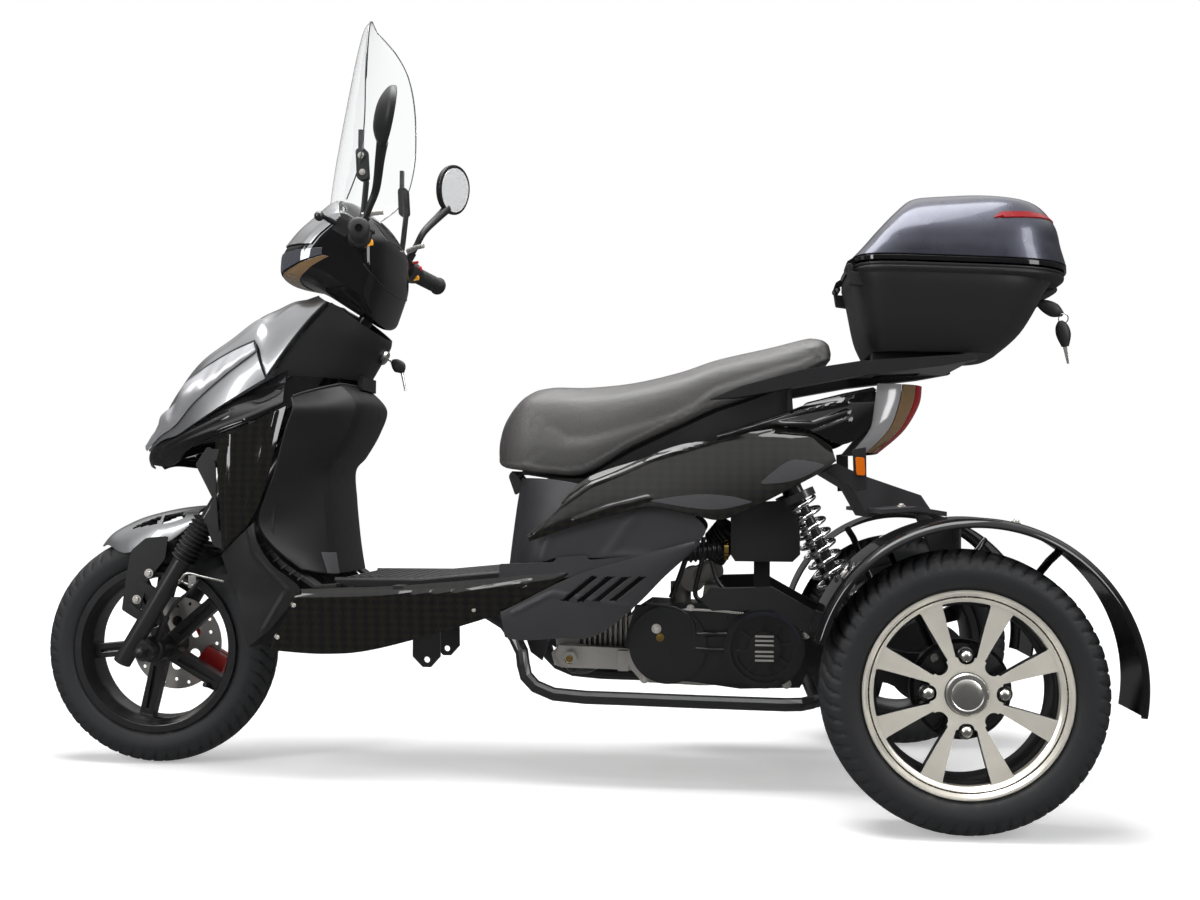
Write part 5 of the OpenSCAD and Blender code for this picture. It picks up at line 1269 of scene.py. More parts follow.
@dataclass
class FrontFork:
    """Ribbed boots and the pointed front mudguard with its side brackets."""

    def boots(self) -> Form:
        """Bellows: the radius follows a wave along the leg."""
        z = np.linspace(0, 94, 110)
        r = 22 + 3.2 * np.cos(z / 94 * 2 * np.pi * 10 + np.pi)
        profile = np.concatenate([np.stack([r, z], -1), [[13.4, 94], [13.4, 0]]])
        return turned(profile, [30, 92, 190.3], [0, 0, 1], 36)

    def mudguard(self) -> Form:
        """Rows across from crown to side edge, from the pointed tip to the rear."""
        s = spline([
            [126, 204, 14, 124, 201], [96, 232, 44, 98, 205], [52, 255, 64, 55, 191],
            [10, 268, 72, -5, 210], [-42, 279, 72, -42, 218], [-98, 285, 66, -88, 256]], 8)
        grid = across(half_rows(s[:, 0], s[:, 1], s[:, 2], xyz(s[:, 3], s[:, 2] + 4, s[:, 4]), 36))
        x = (grid[:-1, :-1, 0] + grid[1:, 1:, 0]) / 2
        share = np.abs(np.linspace(-1, 1, x.shape[1]))[None, :]
        slot = (share > 0.4) & (share < 0.66) & (x > -60) & (x < 46) & (np.abs(x + 14) > 5)
        slot = slot & (share > 0.4 + 0.002 * (x + 10)) & (share < 0.66 - 0.0016 * (x + 10))
        return wall(grid, -3, ~slot)

    def fittings(self) -> Form:
        """Speedometer drive with its boot and cable, the hose bracket, and the axle's domed nuts."""
        drive = turned([[9, 60.5], [25, 60.5], [25, 70], [21, 73], [9, 73]], segments=40)
        lead = spline([[-14, 69, 22], [-30, 80, 52], [-58, 96, 92], [-96, 108, 122], [-112, 108, 142]], 8)
        boot = tube(lead[:12], np.linspace(8, 5.5, 12), 14).joined(tube(lead, 3.4, 10))
        frame = spline([[-70, 106, 134], [-86, 108, 154], [-120, 108, 148], [-160, 104, 139]], 6)
        loop = tube(frame, 2.6, 10).joined(block([-98, 107, 138], [16, 4, 24])).toned(1)
        dome = turned([[0, 116], [10, 116], [10, 122], [8, 127], [4, 130], [0, 131]], segments=32)
        arm = tube([[-100, 107, 130], [-84, 100, 134], [-68, 96, 140]], 4, 10).toned(1)
        return drive.joined(boot, loop, arm, dome.both_sides())

    def build(self) -> None:
        """Build the boots, the mudguard and the small fittings."""
        add_piece(
            "bellows", self.boots().at(Datum.FORK).both_sides(), SOFT_RUBBER, Body.STEERING, "fork_boots",
            bevel=0)
        plate = rounded([
            [57, 78], [23, 66], [4, 140], [-30, 180], [-36, 226], [10, 222], [40, 196], [48, 150]], 6)
        brackets = prism(plate, 75, 80).toned(1)
        bolts = bolt([26, 80, 100], SIDE, 6).joined(bolt([2, 80, 152], SIDE, 6)).toned(2)
        guard = self.mudguard().joined(brackets.joined(bolts).both_sides()).at(Datum.FRONT)
        add_piece(
            "front_mudguard", guard, [METAL_GREY, MATTE_BLACK, BARE_STEEL], Body.STEERING, "front_fender")
        add_piece(
            "fork_fittings", self.fittings().at(Datum.FRONT), [MATTE_BLACK, ZINC], Body.STEERING, bevel=0.5)


@dataclass
class MiddleBody:
    """Floor with its mat and strips, skirts, seat base and the louvred lower cowls."""

    def floor(self) -> Form:
        """Floor slab with its raised sills and tabs, the mat with its bars, and the foot strips."""
        front, rear, z = WHEELBASE - 402, 800.0, 146.0
        middle = (front + rear) / 2
        outline = [[front, z - 9], [front, z + 4], [front - 160, z + 5], [rear, z + 21], [rear, z + 7],
                   [front - 160, z - 9]]
        slab = prism(outline, -165, 165)
        mat = prism([[front - 8, z + 3], [front - 8, z + 7], [front - 160, z + 8], [rear + 6, z + 24],
                     [rear + 6, z + 20], [front - 160, z + 4]], -140, 140).toned(1)
        x = np.linspace(rear + 16, front - 22, 17)
        height = z + 6.5 + 16 * np.clip((front - 160 - x) / (front - 160 - rear), 0, 1)
        bar = prism([[-5, 0], [5, 0], [3.4, 3], [-3.4, 3]], -132, 132)
        bars = bar.repeated([Matrix.Translation((a, 0, b)) for a, b in zip(x, height)]).toned(1)
        sill = tube([[front + 4, 158, z + 2], [front - 160, 158, z + 3], [rear - 4, 158, z + 19]], 6.5, 14)
        wb = WHEELBASE
        strip = prism([
            [front - 10, z - 9], [front + 34, z - 10], [wb - 302, 178], [wb - 252, 234], [wb - 258, 239],
            [wb - 310, 186], [wb - 374, 141], [front - 10, z - 2]], 162, 202)
        slots = np.array([[-266, 222], [-280, 208], [-294, 194], [-309, 181], [-325, 170], [-341, 160]])
        tread = block([0, 203, 0], [15, 3, 3.5])
        lean = Matrix.Rotation(0.5, 4, "Y")
        marks = tread.repeated([Matrix.Translation((wb + a - 4, 0, b - 6)) @ lean for a, b in slots]).toned(1)
        tab = block([middle + 30, 184, 137], [20, 42, 12])
        return slab.joined(mat, bars, sill.joined(strip, marks, tab).both_sides())

    def skirts(self) -> Form:
        """Long side skirts under the floor, with a bevel along the top and its bolts."""
        wb = WHEELBASE
        upper = [
            [wb - 342.8, 205, 132], [wb - 420, 206, 136], [wb - 529, 206, 141], [800, 205, 158],
            [730, 203, 166], [668, 201, 172]]
        lower = [
            [wb - 284.8, 196, 20], [wb - 390, 192, 14], [wb - 493, 190, 26], [837, 190, 81],
            [762, 192, 111], [676, 199, 166]]
        lines = ((wb - 330, 118, 860, 132), (860, 132, 740, 152), (740, 152, 776, 104))
        grid = Panel(upper, lower, (0, 6, 0), creases=lines, steps=16, count=33, fold_slope=0.55,
                     fold=((700, 156), (860, 134), (wb - 420, 122), (wb - 330, 116))).grid()
        ends = np.array([[wb - 334, 104], [wb - 302, 44], [846, 100]])
        heads = [bolt([x, y, z], SIDE, 4.5).toned(1) for (x, z), y in zip(ends, lateral(grid, ends))]
        return wall(grid, -PANEL_T).joined(*heads)

    def seat_base(self) -> Form:
        """Panel under the seat: rounded front and creased sides that run to the rear, and its hinge ears."""
        s = spline([
            [196, 470, 700, 806, 192, 172], [246, 420, 690, 798, 190, 240], [290, 470, 664, 790, 184, 300],
            [330, 560, 640, 782, 168, 345]], 12)
        x, z = s[:, 3], s[:, 5]
        front = half_rows(x, z, 60, xyz(x - 10, 96, z), 12)
        side = arc_rows(
            xyz(x - 20, 116, z), xyz(s[:, 2] + 60, s[:, 4], z), xyz(s[:, 2], s[:, 4], s[:, 0]), 20)
        u = np.linspace(0, 1, 33)[None, 1:, None]
        tail = xyz(s[:, 1], s[:, 4] + 3, s[:, 0] + 4)[:, None]
        tail = side[:, -1:] * (1 - u) + tail * u
        lines = ((542, 286, 600, 204), (600, 204, 470, 200), (690, 288, 724, 196))
        grid = creased(np.concatenate([front, side, tail], 1), lines, 3.0, 12.0)
        ear = prism(
            rounded([[784, 318], [794, 312], [807, 348], [803, 357], [795, 356], [781, 340]], 3), 40, 52)
        pin = turned([[0, 0], [5, 0], [5, 13], [0, 13]], [800, 28, 350], SIDE, 24)
        return wall(across(grid), PANEL_T).joined(ear.joined(pin).both_sides())

    def cowls(self) -> Form:
        """Lower side cowls with slanted louvres.

        A cell is cut out where it lies between the slots' upper and lower ends and its distance
        along the row, measured square to the slant, falls inside a slot.
        """
        upper = [
            [796, 198, 96], [760, 198, 114], [700, 198, 146], [640, 198, 172], [560, 198, 196],
            [500, 198, 214], [440, 198, 228]]
        lower = [
            [788, 192, 52], [756, 192, 46], [690, 192, 50], [620, 192, 56], [548, 192, 112],
            [494, 192, 168], [436, 192, 222]]
        lines = ((700, 132, 560, 108), (770, 96, 700, 132))
        grid = Panel(upper, lower, (0, 9, 0), creases=lines, steps=16, count=45).grid()
        x = (grid[:-1, :-1, 0] + grid[1:, 1:, 0]) / 2
        z = (grid[:-1, :-1, 2] + grid[1:, 1:, 2]) / 2
        slant, low, high = 1.22, 119, 165
        along = x + slant * (z - low) - 582
        slot = (along > 0) & (along < 104) & (along % 29 < 17) & (z > low) & (z < high)
        feet = [582 + 29 * k + width for k in range(4) for width in (0, 17)]
        ends = np.array([[(foot - slant * (v - low), v) for v in (low, high)] for foot in feet])
        y = lateral(grid, ends)
        rods = [tube(np.column_stack([e[:, 0], w, e[:, 1]]), 1.6, 8) for e, w in zip(ends, y)]
        # Dark plate behind the slots: painted shade for the dark inside of the louvres.
        back = prism([[694, 108], [574, 108], [500, 174], [620, 174]], 164, 167).toned(1)
        rail = prism(
            rounded([[800, 158], [799, 185], [700, 189], [692, 198], [640, 202], [632, 194], [520, 205],
            [440, 234], [430, 224], [520, 188], [610, 174], [700, 156]], 3), 190, 199)
        return wall(grid, -PANEL_T, ~slot).joined(*rods, back, rail)

    def build(self) -> None:
        """Build the pieces between the wheels."""
        add_piece(
            "floor_and_mat", self.floor().at(Datum.REAR), [MATTE_BLACK, SOFT_RUBBER], Body.CHASSIS,
            "floorboard")
        add_piece(
            "gloss_skirts", self.skirts().at(Datum.REAR).both_sides(), [GLOSS_PATTERN, BARE_STEEL],
            Body.CHASSIS, "side_skirts")
        add_piece("seat_base_panel", self.seat_base().at(Datum.REAR), MATTE_GREY, Body.CHASSIS, "seat_base")
        add_piece(
            "louvred_cowls", self.cowls().at(Datum.REAR).both_sides(), [MATTE_GREY, MATTE_BLACK],
            Body.CHASSIS, "lower_cowls", bevel=0.4)


@dataclass
class RearBody:
    """Gloss side panels, tail panels, tail lamp and rear mudguards."""

    def side_panels(self) -> Form:
        """Gloss panel from the seat's nose up to the tail."""
        rows = np.array([
            [746, 236, 744, 230, 196, 199], [700, 276, 682, 250, 194, 203], [642, 341, 600, 274, 172, 204],
            [541, 378, 522, 292, 164, 205], [470, 405, 449, 280, 158, 204], [391, 416, 391, 270, 156, 202],
            [330, 432, 320, 300, 154, 198], [286, 440, 262, 330, 152, 192], [230, 428, 214, 356, 150, 184],
            [192, 404, 184, 378, 150, 172]], float)
        lines = ((734, 242, 691, 289), (691, 289, 635, 330), (635, 330, 580, 352), (580, 352, 521, 379),
                 (521, 379, 396, 418), (396, 418, 300, 436), (659, 266, 596, 290), (596, 290, 525, 308))
        grid = Panel(rows[:, [0, 4, 1]], rows[:, [2, 5, 3]], (0, 10, 0), creases=lines, steps=15, count=39,
                     fold=((396, 422), (521, 379), (580, 351), (635, 330), (691, 289), (728, 250))).grid()
        # Dark plate inboard, between the panel's top and the seat: painted shade that closes the gap where
        # the panel meets the seat.
        under = prism([
            [728, 240], [722, 344], [650, 344], [560, 396], [470, 439], [400, 471], [300, 505], [262, 520],
            [256, 440], [396, 400], [520, 360], [640, 310]], 118, 121)
        leaf = laid(
            grid, [[520, 304], [440, 315], [380, 313], [337, 303]],
            [[519, 302], [440, 290], [390, 289], [338, 301]]).toned(1)
        rear = laid(
            grid, [[320, 339], [270, 377], [230, 377], [206, 371]],
            [[318, 335], [280, 338], [244, 348], [207, 368]]).toned(1)
        return wall(grid, -PANEL_T).joined(leaf, rear, under.toned(2))

    def tail(self) -> Form:
        """Narrow tail panels with their arrow creases, and the deck over them."""
        rows = np.array([
            [404, 424, 398, 420, 150, 153], [286, 462, 300, 444, 138, 152], [230, 484, 236, 438, 128, 149],
            [160, 502, 170, 410, 118, 140], [104, 514, 118, 440, 110, 124]], float)
        lines = ((387, 421, 294, 458), (294, 458, 160, 490), (281, 446, 222, 446), (222, 446, 160, 470),
                 (222, 430, 158, 456))
        sides = Panel(rows[:, [0, 4, 1]], rows[:, [2, 5, 3]], (0, 7, 0), creases=lines, steps=14,
                      count=29, fold=((160, 490), (294, 458), (387, 421))).form().both_sides()
        top = rows[2:]
        deck = np.stack([
            xyz(top[:, 0], 0, top[:, 1] + 7), xyz(top[:, 0], top[:, 4] * 0.6, top[:, 1] + 5),
            xyz(top[:, 0], top[:, 4] - 1, top[:, 1] - 2)], 1)
        return sides.joined(wall(across(deck), -PANEL_T))

    def lamp(self) -> Form:
        """Tail lamp that wraps round the end of the tail: frosted edges, tan strips and a red middle."""
        s = spline([
            [526, 6, 101, 107.5], [490, 12, 107.6, 115.6],
            [440, 42, 117.2, 123.6], [396, 92, 150, 122]], 10)
        half = half_rows(s[:, 1], s[:, 0], s[:, 3] * 0.9, xyz(s[:, 2], s[:, 3], s[:, 0]), 61)
        middle = wall(across(half[:, :27]), PANEL_T)
        tan, frost = (wall(half[:, a:b], PANEL_T).both_sides() for a, b in ((27, 43), (43, 61)))
        return middle.joined(tan.toned(1), frost.toned(2))

    def mudguards(self) -> Form:
        """Arch: a profile with a rolled lip, carried round part of a circle over the tyre."""
        r, t = 262.0, 4.0
        inner_y, lip_y = 320 - REAR_Y, 85.0
        profile = np.array([
            [r, inner_y], [r, 60], [r - 4, 73], [r - 12, 80.5], [r - 12.4, lip_y], [r - 4, 82], [r + 1, 76],
            [r + t, 62], [r + t, inner_y]])
        outline = rounded(profile, 5, 4)
        a = np.radians(np.linspace(14, 190, 140))[:, None]
        x = -14 + outline[None, :, 0] * np.cos(a)
        z = 16 + outline[None, :, 0] * np.sin(a)
        return rings_form(xyz(x, outline[None, :, 1] + REAR_Y, z))

    def stays(self) -> Form:
        """Tubes that hold each mudguard: from the axle out along the radius, then over the arch."""
        angles = np.radians([60.0, 128.0])
        c, t = np.cos(angles), np.sin(angles)
        paths = np.stack([
            xyz(62.5 * c, 308, 62.5 * t), xyz(242 * c - 14, 310, 242 * t + 16),
            xyz(263 * c - 14, 324, 263 * t + 16)], 1)
        return Form.joined(*(tube(path, 7, 14) for path in paths))

    def signals(self) -> Form:
        """Small orange reflectors on the tail's flanks and bolts along the bridge."""
        lens = prism(rounded([[132, 352], [148, 353], [150, 386], [134, 385]], 4), 182, 190)
        head = bolt([70, 206, 297], [0, 0.3, 1], 5).toned(1)
        bracket = prism([[129, 326], [151, 324], [154, 400], [130, 404]], 174, 182).toned(2)
        return lens.joined(bracket, head).both_sides()

    def build(self) -> None:
        """Build the rear panels."""
        add_piece(
            "gloss_side_panels", self.side_panels().at(Datum.REAR).both_sides(),
            [GLOSS_PATTERN, MATTE_GREY, MATTE_BLACK], Body.CHASSIS, "side_panels")
        add_piece("tail_panels", self.tail().at(Datum.REAR), GLOSS_BLACK, Body.CHASSIS, "tail_panel")
        add_piece("tail_lens", self.lamp().at(Datum.REAR), [RED_LENS, TAN_LENS, FROST_LENS], Body.CHASSIS,
                  "tail_lamp", bevel=0.4)
        ways = [np.array([math.cos(a), 0, math.sin(a)]) for a in np.radians([40, 105, 172])]
        studs = [bolt(267 * way + [-14, 430, 16], way, 5).toned(1) for way in ways]
        add_piece("tail_reflectors", self.signals().at(Datum.REAR), [AMBER_LENS, BARE_STEEL, MATTE_BLACK],
                  Body.CHASSIS, bevel=0.6)
        add_piece(
            "rear_mudguards", self.mudguards().joined(*studs, self.stays()).at(Datum.REAR).both_sides(),
            [GLOSS_BLACK, BARE_STEEL], Body.CHASSIS, "rear_fenders", bevel=0, angle=50)


@dataclass
class TopBox:
    """Box base with rim bands, glossy lid and wrap-round reflector."""

    wall_t: float = 4.0

    def shape(self, rows: list, inset: float = 0.0, lift: float = 0.0, steps: int = 6) -> Points:
        """Superellipse rings through stations of [rear, front, half width, heights at rear and front]."""
        s = spline(rows, steps)
        return np.stack([
            super_ring(r[0] + inset, r[1] - inset, r[2] - inset, r[3] + lift, r[4] + lift) for r in s])

    def base(self) -> Form:
        """Hollow base: outer rings up, over the two rim bands, and the inner rings down."""
        rows = [[-122, 112, 140, 580, 584], [-168, 128, 166, 622, 626], [-204, 142, 190, 684, 702],
                [-214, 149, 194, 712, 726]]
        bands = [[-238, 149, 197, 713, 729], [-245, 150, 199, 716, 732], [-246, 150, 199, 720, 736],
                 [-243, 149, 197.5, 721, 737], [-243, 149, 197.5, 723, 739], [-246, 150, 199, 724, 740],
                 [-246, 150, 199, 727, 744]]
        outer = self.shape(rows)
        lip = self.shape(bands, steps=1)
        inner_lip = self.shape(bands[-2:], 12, steps=1)[1:]
        inner = self.shape(rows[:3], self.wall_t)[::-1]
        floor = self.shape([rows[0]] * 2, self.wall_t, self.wall_t, steps=1)[:1]
        return rings_form(np.concatenate([outer, lip, inner_lip, inner, floor]))

    def lid(self) -> Form:
        """Hollow domed lid."""
        rows = [[-250, 152, 200, 741, 759], [-240, 130, 196, 775, 782], [-228, 104, 186, 820, 812],
                [-190, 70, 160, 862, 848], [-110, 40, 110, 880, 874], [-50, 0, 30, 885, 883]]
        edge = [[-250, 152, 200, 730, 748], [-250, 152, 200, 738, 756], [-247.5, 150, 198, 739, 757],
                [-247.5, 150, 198, 740, 758]]
        outer = self.shape(rows)[::-1]
        band = self.shape(edge, steps=1)[::-1]
        inner = self.shape([edge[0]] + rows[1:4], self.wall_t)
        top = self.shape([rows[4]] * 2, self.wall_t, -self.wall_t, steps=1)[:1]
        form = rings_form(np.concatenate([outer, band, inner, top]))
        faces = form.faces[0]
        split = (len(outer) - 1) * outer.shape[1]
        return Form(form.points, (faces[:split], faces[split:], form.faces[1]), (0, 1, 1))

    def reflector(self) -> Form:
        """Red wedge round the rear of the lid, pointed at both front ends."""
        low = super_ring(-228.6, 104.6, 186.6, 820, 812)
        high = super_ring(-190.6, 70.6, 160.6, 862.6, 848.6)
        k = np.arange(25, 72)
        t = np.where(np.abs(k - 48) > 22, 0.12, 0.36 + 0.3 * np.clip(1 - ((k - 48) / 12.0) ** 2, 0, 1))
        a, b = low[k], high[k]
        rows = [a + 0.08 * (b - a), a + 0.5 * t[:, None] * (b - a), a + t[:, None] * (b - a)]
        return wall(np.stack(rows, 1), 2.4)

    def fittings(self) -> Form:
        """Hinge ears and pins, feet on the rack, and the rear latch."""
        ear = prism(rounded([[156, 729], [162, 732], [158, 706], [118, 700], [118, 726]], 3), 138, 160)
        knuckle = turned([[0, 138], [7, 138], [7, 160], [0, 160]], [158, 0, 737], SIDE, 32)
        pin = turned([[0, 118], [3.4, 118], [3.4, 139], [0, 139]], [158, 0, 737], SIDE, 24).toned(1)
        feet = prism([[-50, 573.8], [110, 564.9], [110, 590], [-50, 588]], 60, 100)
        latch = prism(rounded([[-214, 692], [-242, 704], [-249, 712], [-244, 722], [-212, 716]], 5), -24, 24)
        return ear.joined(knuckle, pin, feet).both_sides().joined(latch)

    def lid_hinges(self) -> Form:
        """Bored knuckles and arms that carry the lid on the pins."""
        knuckle = turned([[3.8, 116], [7, 116], [7, 137.5], [3.8, 137.5]], [158, 0, 737], SIDE, 32)
        arm = prism([[153, 742], [164, 741], [160, 752], [134, 768], [132, 756], [140, 752]], 116, 137.5)
        return knuckle.joined(arm).both_sides()

    def keys(self) -> Form:
        """Ignition lock and key, and the box's lock with its two keys and their ring."""
        def bow(path: list, widths: list, thin: float = 0.42) -> Form:
            """Flat rounded key head along a path: a tube squeezed sideways."""
            part = tube(spline([[x, 0, z] for x, z in path], 5), spline(widths, 5), 20)
            return Form(part.points * [1, thin, 1], part.faces, part.tones)
        shift = [WHEELBASE, 0, 0]
        way, start = np.array([-0.8746, 0, -0.4848]), np.array([-444.6, 0, 588])
        lock = turned([[0, 0], [15, 0], [15, 6], [12, 9], [0, 9]], start, way, 40)
        blade = prism([[-451, 583], [-453, 586], [-466, 579], [-464, 576]], -2, 2)
        head = bow([[-462, 580], [-470, 575], [-480, 566], [-486, 556]], [4, 11, 13, 3]).toned(1)
        tip = tube([[-484, 0, 556], [-491, 0, 520]], [3, 2], 10)
        ignition = lock.joined(blade, head, tip).shifted(*shift)
        box_lock = turned(
            [[0, 0], [10, 0], [10, 36], [8, 38], [0, 38]], [-178, 0, 694], [-1, 0, -0.08], 32).toned(1)
        near = bow([[-214, 690], [-228, 686], [-248, 676], [-264, 668]], [4, 12, 14, 4]).toned(1)
        far = bow([[-258, 656], [-261, 646], [-265, 628], [-268, 606]], [4, 12, 14, 7]).toned(1)
        blade_2 = prism([[-263, 608], [-271, 607], [-275, 573], [-271, 573]], -1.2, 1.2)
        a = np.linspace(0, 2 * np.pi, 33)
        loop = tube(np.column_stack([-264 + 9 * np.cos(a), 2 + 3 * np.sin(a), 660 + 9 * np.sin(a)]), 1.1, 8)
        return ignition.joined(box_lock, near, far, blade_2, loop)

    def build(self) -> None:
        """Build the box, its lid, its reflector and the keys."""
        base = self.base().joined(self.fittings()).at(Datum.REAR)
        add_piece("box_base", base, [MATTE_BLACK, ZINC], Body.CHASSIS, "topbox_base", bevel=0.7)
        lid = self.lid().joined(self.lid_hinges().toned(1)).at(Datum.REAR)
        add_piece("box_lid_shell", lid, [LID_PAINT, GLOSS_BLACK], Body.LID, "topbox_lid", bevel=0.7)
        add_piece(
            "lid_wedge", self.reflector().at(Datum.REAR), RED_LENS, Body.LID, "lid_reflector", bevel=0.5)
        add_piece("locks_and_key_ring", self.keys().at(Datum.REAR), [ZINC, MATTE_BLACK], Body.CHASSIS,
                  "locks_and_keys", bevel=0.3)


@dataclass
class Seat:
    """Two-level saddle in grained vinyl, filled by a cloth simulation."""

    voxel: float = 0.006
    shrink: float = 0.003
    cap: float = 0.0045
    pressure: float = 4.0
    frames: int = 20
    stations: list = field(default_factory=lambda: [
        # x, height of the underside, height of the top, half width
        [828, 380, 420, 60], [812, 366, 462, 96], [774, 360, 506, 122], [720, 352, 521, 134],
        [650, 352, 521, 140], [560, 405, 530, 142], [470, 448, 551, 138], [400, 480, 575, 122],
        [300, 514, 598, 112], [210, 560, 619, 104], [184, 572, 606, 90]])

    def form(self) -> Form:
        """Closed sections along the seat, round at the shoulders and flat underneath."""
        s = spline(self.stations, 8)
        share = np.array([
            [0, 0], [0.45, 0], [0.86, 0], [0.97, 0.08], [1, 0.25], [1.0, 0.42], [0.98, 0.6], [0.93, 0.76],
            [0.84, 0.88], [0.66, 0.965], [0.45, 0.995], [0.22, 1.0], [0, 1.0]])
        half = spline(share, 3)
        ring = np.concatenate([half, half[-2:0:-1] * [-1, 1]])
        z = s[:, 1, None] + (s[:, 2] - s[:, 1])[:, None] * ring[:, 1]
        return rings_form(xyz(s[:, 0, None], s[:, 3, None] * ring[:, 0], z))

    def swollen(self, form: Form) -> Form:
        """Let cloth pressure fill the cover.

        The cushion is remeshed evenly and drawn in along its normals, and its underside is held.
        Some frames of cloth swell it, and no point moves further than the cap.

        Args:
            form: the cushion in the shared frame.

        Returns:
            The swollen cushion.
        """
        scene = bpy.context.scene
        pad = new_object("pad", make_mesh("pad", form))
        even = pad.modifiers.new("even", "REMESH")
        even.mode, even.voxel_size = "VOXEL", self.voxel
        mesh = bpy.data.meshes.new_from_object(pad.evaluated_get(bpy.context.evaluated_depsgraph_get()))
        pad.modifiers.clear()
        pad.data = mesh
        count = len(mesh.vertices)
        rest, out = np.empty(count * 3), np.empty(count * 3)
        mesh.vertices.foreach_get("co", rest)
        mesh.vertices.foreach_get("normal", out)
        rest, out = rest.reshape(-1, 3), out.reshape(-1, 3)
        held = out[:, 2] < -0.35
        start = rest - self.shrink * out * ~held[:, None]
        mesh.vertices.foreach_set("co", start.ravel())
        mesh.update()
        pad.vertex_groups.new(name="held").add(np.flatnonzero(held).tolist(), 1.0, "REPLACE")
        cloth = pad.modifiers.new("cover", "CLOTH")
        cloth.settings.use_pressure = True
        cloth.settings.uniform_pressure_force = self.pressure
        cloth.settings.effector_weights.gravity = 0.0
        cloth.settings.vertex_group_mass = "held"
        for number in range(1, self.frames + 1):
            scene.frame_set(number)
        filled = pad.evaluated_get(bpy.context.evaluated_depsgraph_get()).data
        moved = np.empty(count * 3)
        filled.vertices.foreach_get("co", moved)
        step = moved.reshape(-1, 3) - start
        length = np.linalg.norm(step, axis=1, keepdims=True)
        final = start + step * np.minimum(1, self.cap / np.maximum(length, 1e-9))
        corners = np.empty(len(mesh.loops), int)
        mesh.loops.foreach_get("vertex_index", corners)
        scene.frame_set(1)
        bpy.data.objects.remove(pad)
        LOG.info("cloth moved the cover %.1f mm at most", MM * length.max())
        return Form.of(final * MM, corners.reshape(-1, 4))

    def build(self) -> None:
        form = self.form().at(Datum.REAR)
        cushion = add_piece(
            "saddle", self.swollen(form), VINYL, Body.SEAT, "seat_cushion", bevel=0, angle=60)
        smooth = cushion.modifiers.new("smooth", "SUBSURF")
        smooth.levels = smooth.render_levels = 1


@dataclass
class PowerUnit:
    """Chrome coil springs and dampers on both sides of the engine."""

    turns: int = 9

    def shock(self) -> Form:
        """Damper between two eyes with a helix round it."""
        low, high = np.array([122, 172, 34.0]), np.array([262, 172, 340.0])
        length = np.linalg.norm(high - low)
        way = (high - low) / length
        body = turned([
            [0, 12], [19, 12], [19, 90], [31, 90], [31, 96], [9, 96], [9, length - 36],
            [30, length - 36], [30, length - 22], [12, length - 22],
            [12, length - 10], [0, length - 10]], low, way, 40).toned(1)
        u, v = frames_of(way[None])
        t = np.linspace(0, 1, self.turns * 28 + 1)[:, None]
        a = 2 * np.pi * self.turns * t
        helix = low + way * (100 + (length - 40 - 100) * t) + 24 * (np.cos(a) * u + np.sin(a) * v)
        eyes = [
            turned([[6, -11], [15, -11], [15, 11], [6, 11]], end, SIDE, 32).toned(1) for end in (low, high)]
        return body.joined(tube(helix, 4, 10), *eyes)

    def small_parts(self) -> Form:
        """Bolts, ribs of the drive cover, hoses and cables of the engine's left side."""
        def line(points: list, y: float, radius: float, tone: int) -> Form:
            """Smooth tube through [x, z] places at one lateral place."""
            path = spline([[x, y, z] for x, z in points], 8)
            return tube(path, radius, 12).toned(tone)
        heads = [bolt([x, y, z], SIDE, size).toned(tone) for x, z, y, size, tone in (
            (511, 66, 151, 6, 1), (504, 50, 151, 5, 2), (254, 93, 146, 6, 1), (254, 67, 146, 6, 1),
            (236, 58, 146, 5, 1), (271, -32, 146, 6, 1), (510, -14, 126, 5, 2), (677, 3, 112, 7, 2),
            (535, -32, 112, 6, 1), (330, 104, 146, 5, 1), (448, 104, 146, 5, 1))]
        ribs = [
            line([(529, 112), (478, 106), (446, 84), (438, 54)], 151, 3, 0),
            line([(486, 100), (440, 102), (392, 100), (350, 96)], 148, 2.4, 3),
            line([(436, 57), (382, 58), (348, 54)], 151, 3.5, 0), line([(438, 30), (356, 28)], 151, 3.5, 0)]
        hoses = [line([(425, 236), (428, 192), (440, 130), (420, 112)], 122, 4.5, 0),
                 line([(410, 190), (396, 150), (362, 125), (322, 124)], 122, 4, 0),
                 line([(452, 214), (470, 160), (486, 120)], 104, 5, 0)]
        turn = np.radians(np.linspace(8, 172, 40))
        arc = np.stack([np.cos(turn), np.sin(turn)], -1) * 0.9
        width = 7 * np.sin(turn)[:, None]
        crescent = prism(
            np.concatenate([arc * 76, (arc * (74 - width))[::-1]]) + [312, 34], 156, 160).toned(4)
        fins = [block([312, 162, 34 + rise], [34, 5, 3.5]).toned(3) for rise in (-22, -14, -6, 6, 14, 22)]
        clamp = turned([[17, -4], [21, -4], [21, 4], [17, 4]], [382, 110, 214], [1, 0, 0], 40).toned(2)
        z = np.linspace(0, 70, 90)
        ribbed = np.stack([18 + 2 * np.cos(z * 2 * np.pi / 9), z], -1)
        duct = turned(np.concatenate([ribbed, [[14, 70], [14, 0]]]), [388, 110, 214], [1, 0, -0.12], 32)
        return Form.joined(*heads, *ribs, *hoses, *fins, crescent, clamp, duct)

    def build(self) -> None:
        """Build both shock absorbers and the engine's small parts."""
        add_piece(
            "engine_small_parts", self.small_parts().at(Datum.REAR),
            [BLACK_ALLOY, BARE_STEEL, GOLD, RAW_ALLOY, LID_PAINT], Body.CHASSIS, bevel=0, angle=40)
        add_piece(
            "coil_shocks", self.shock().at(Datum.REAR).both_sides(), [CHROME, SATIN_STEEL], Body.CHASSIS,
            "shocks", bevel=0, angle=40)


# Studio


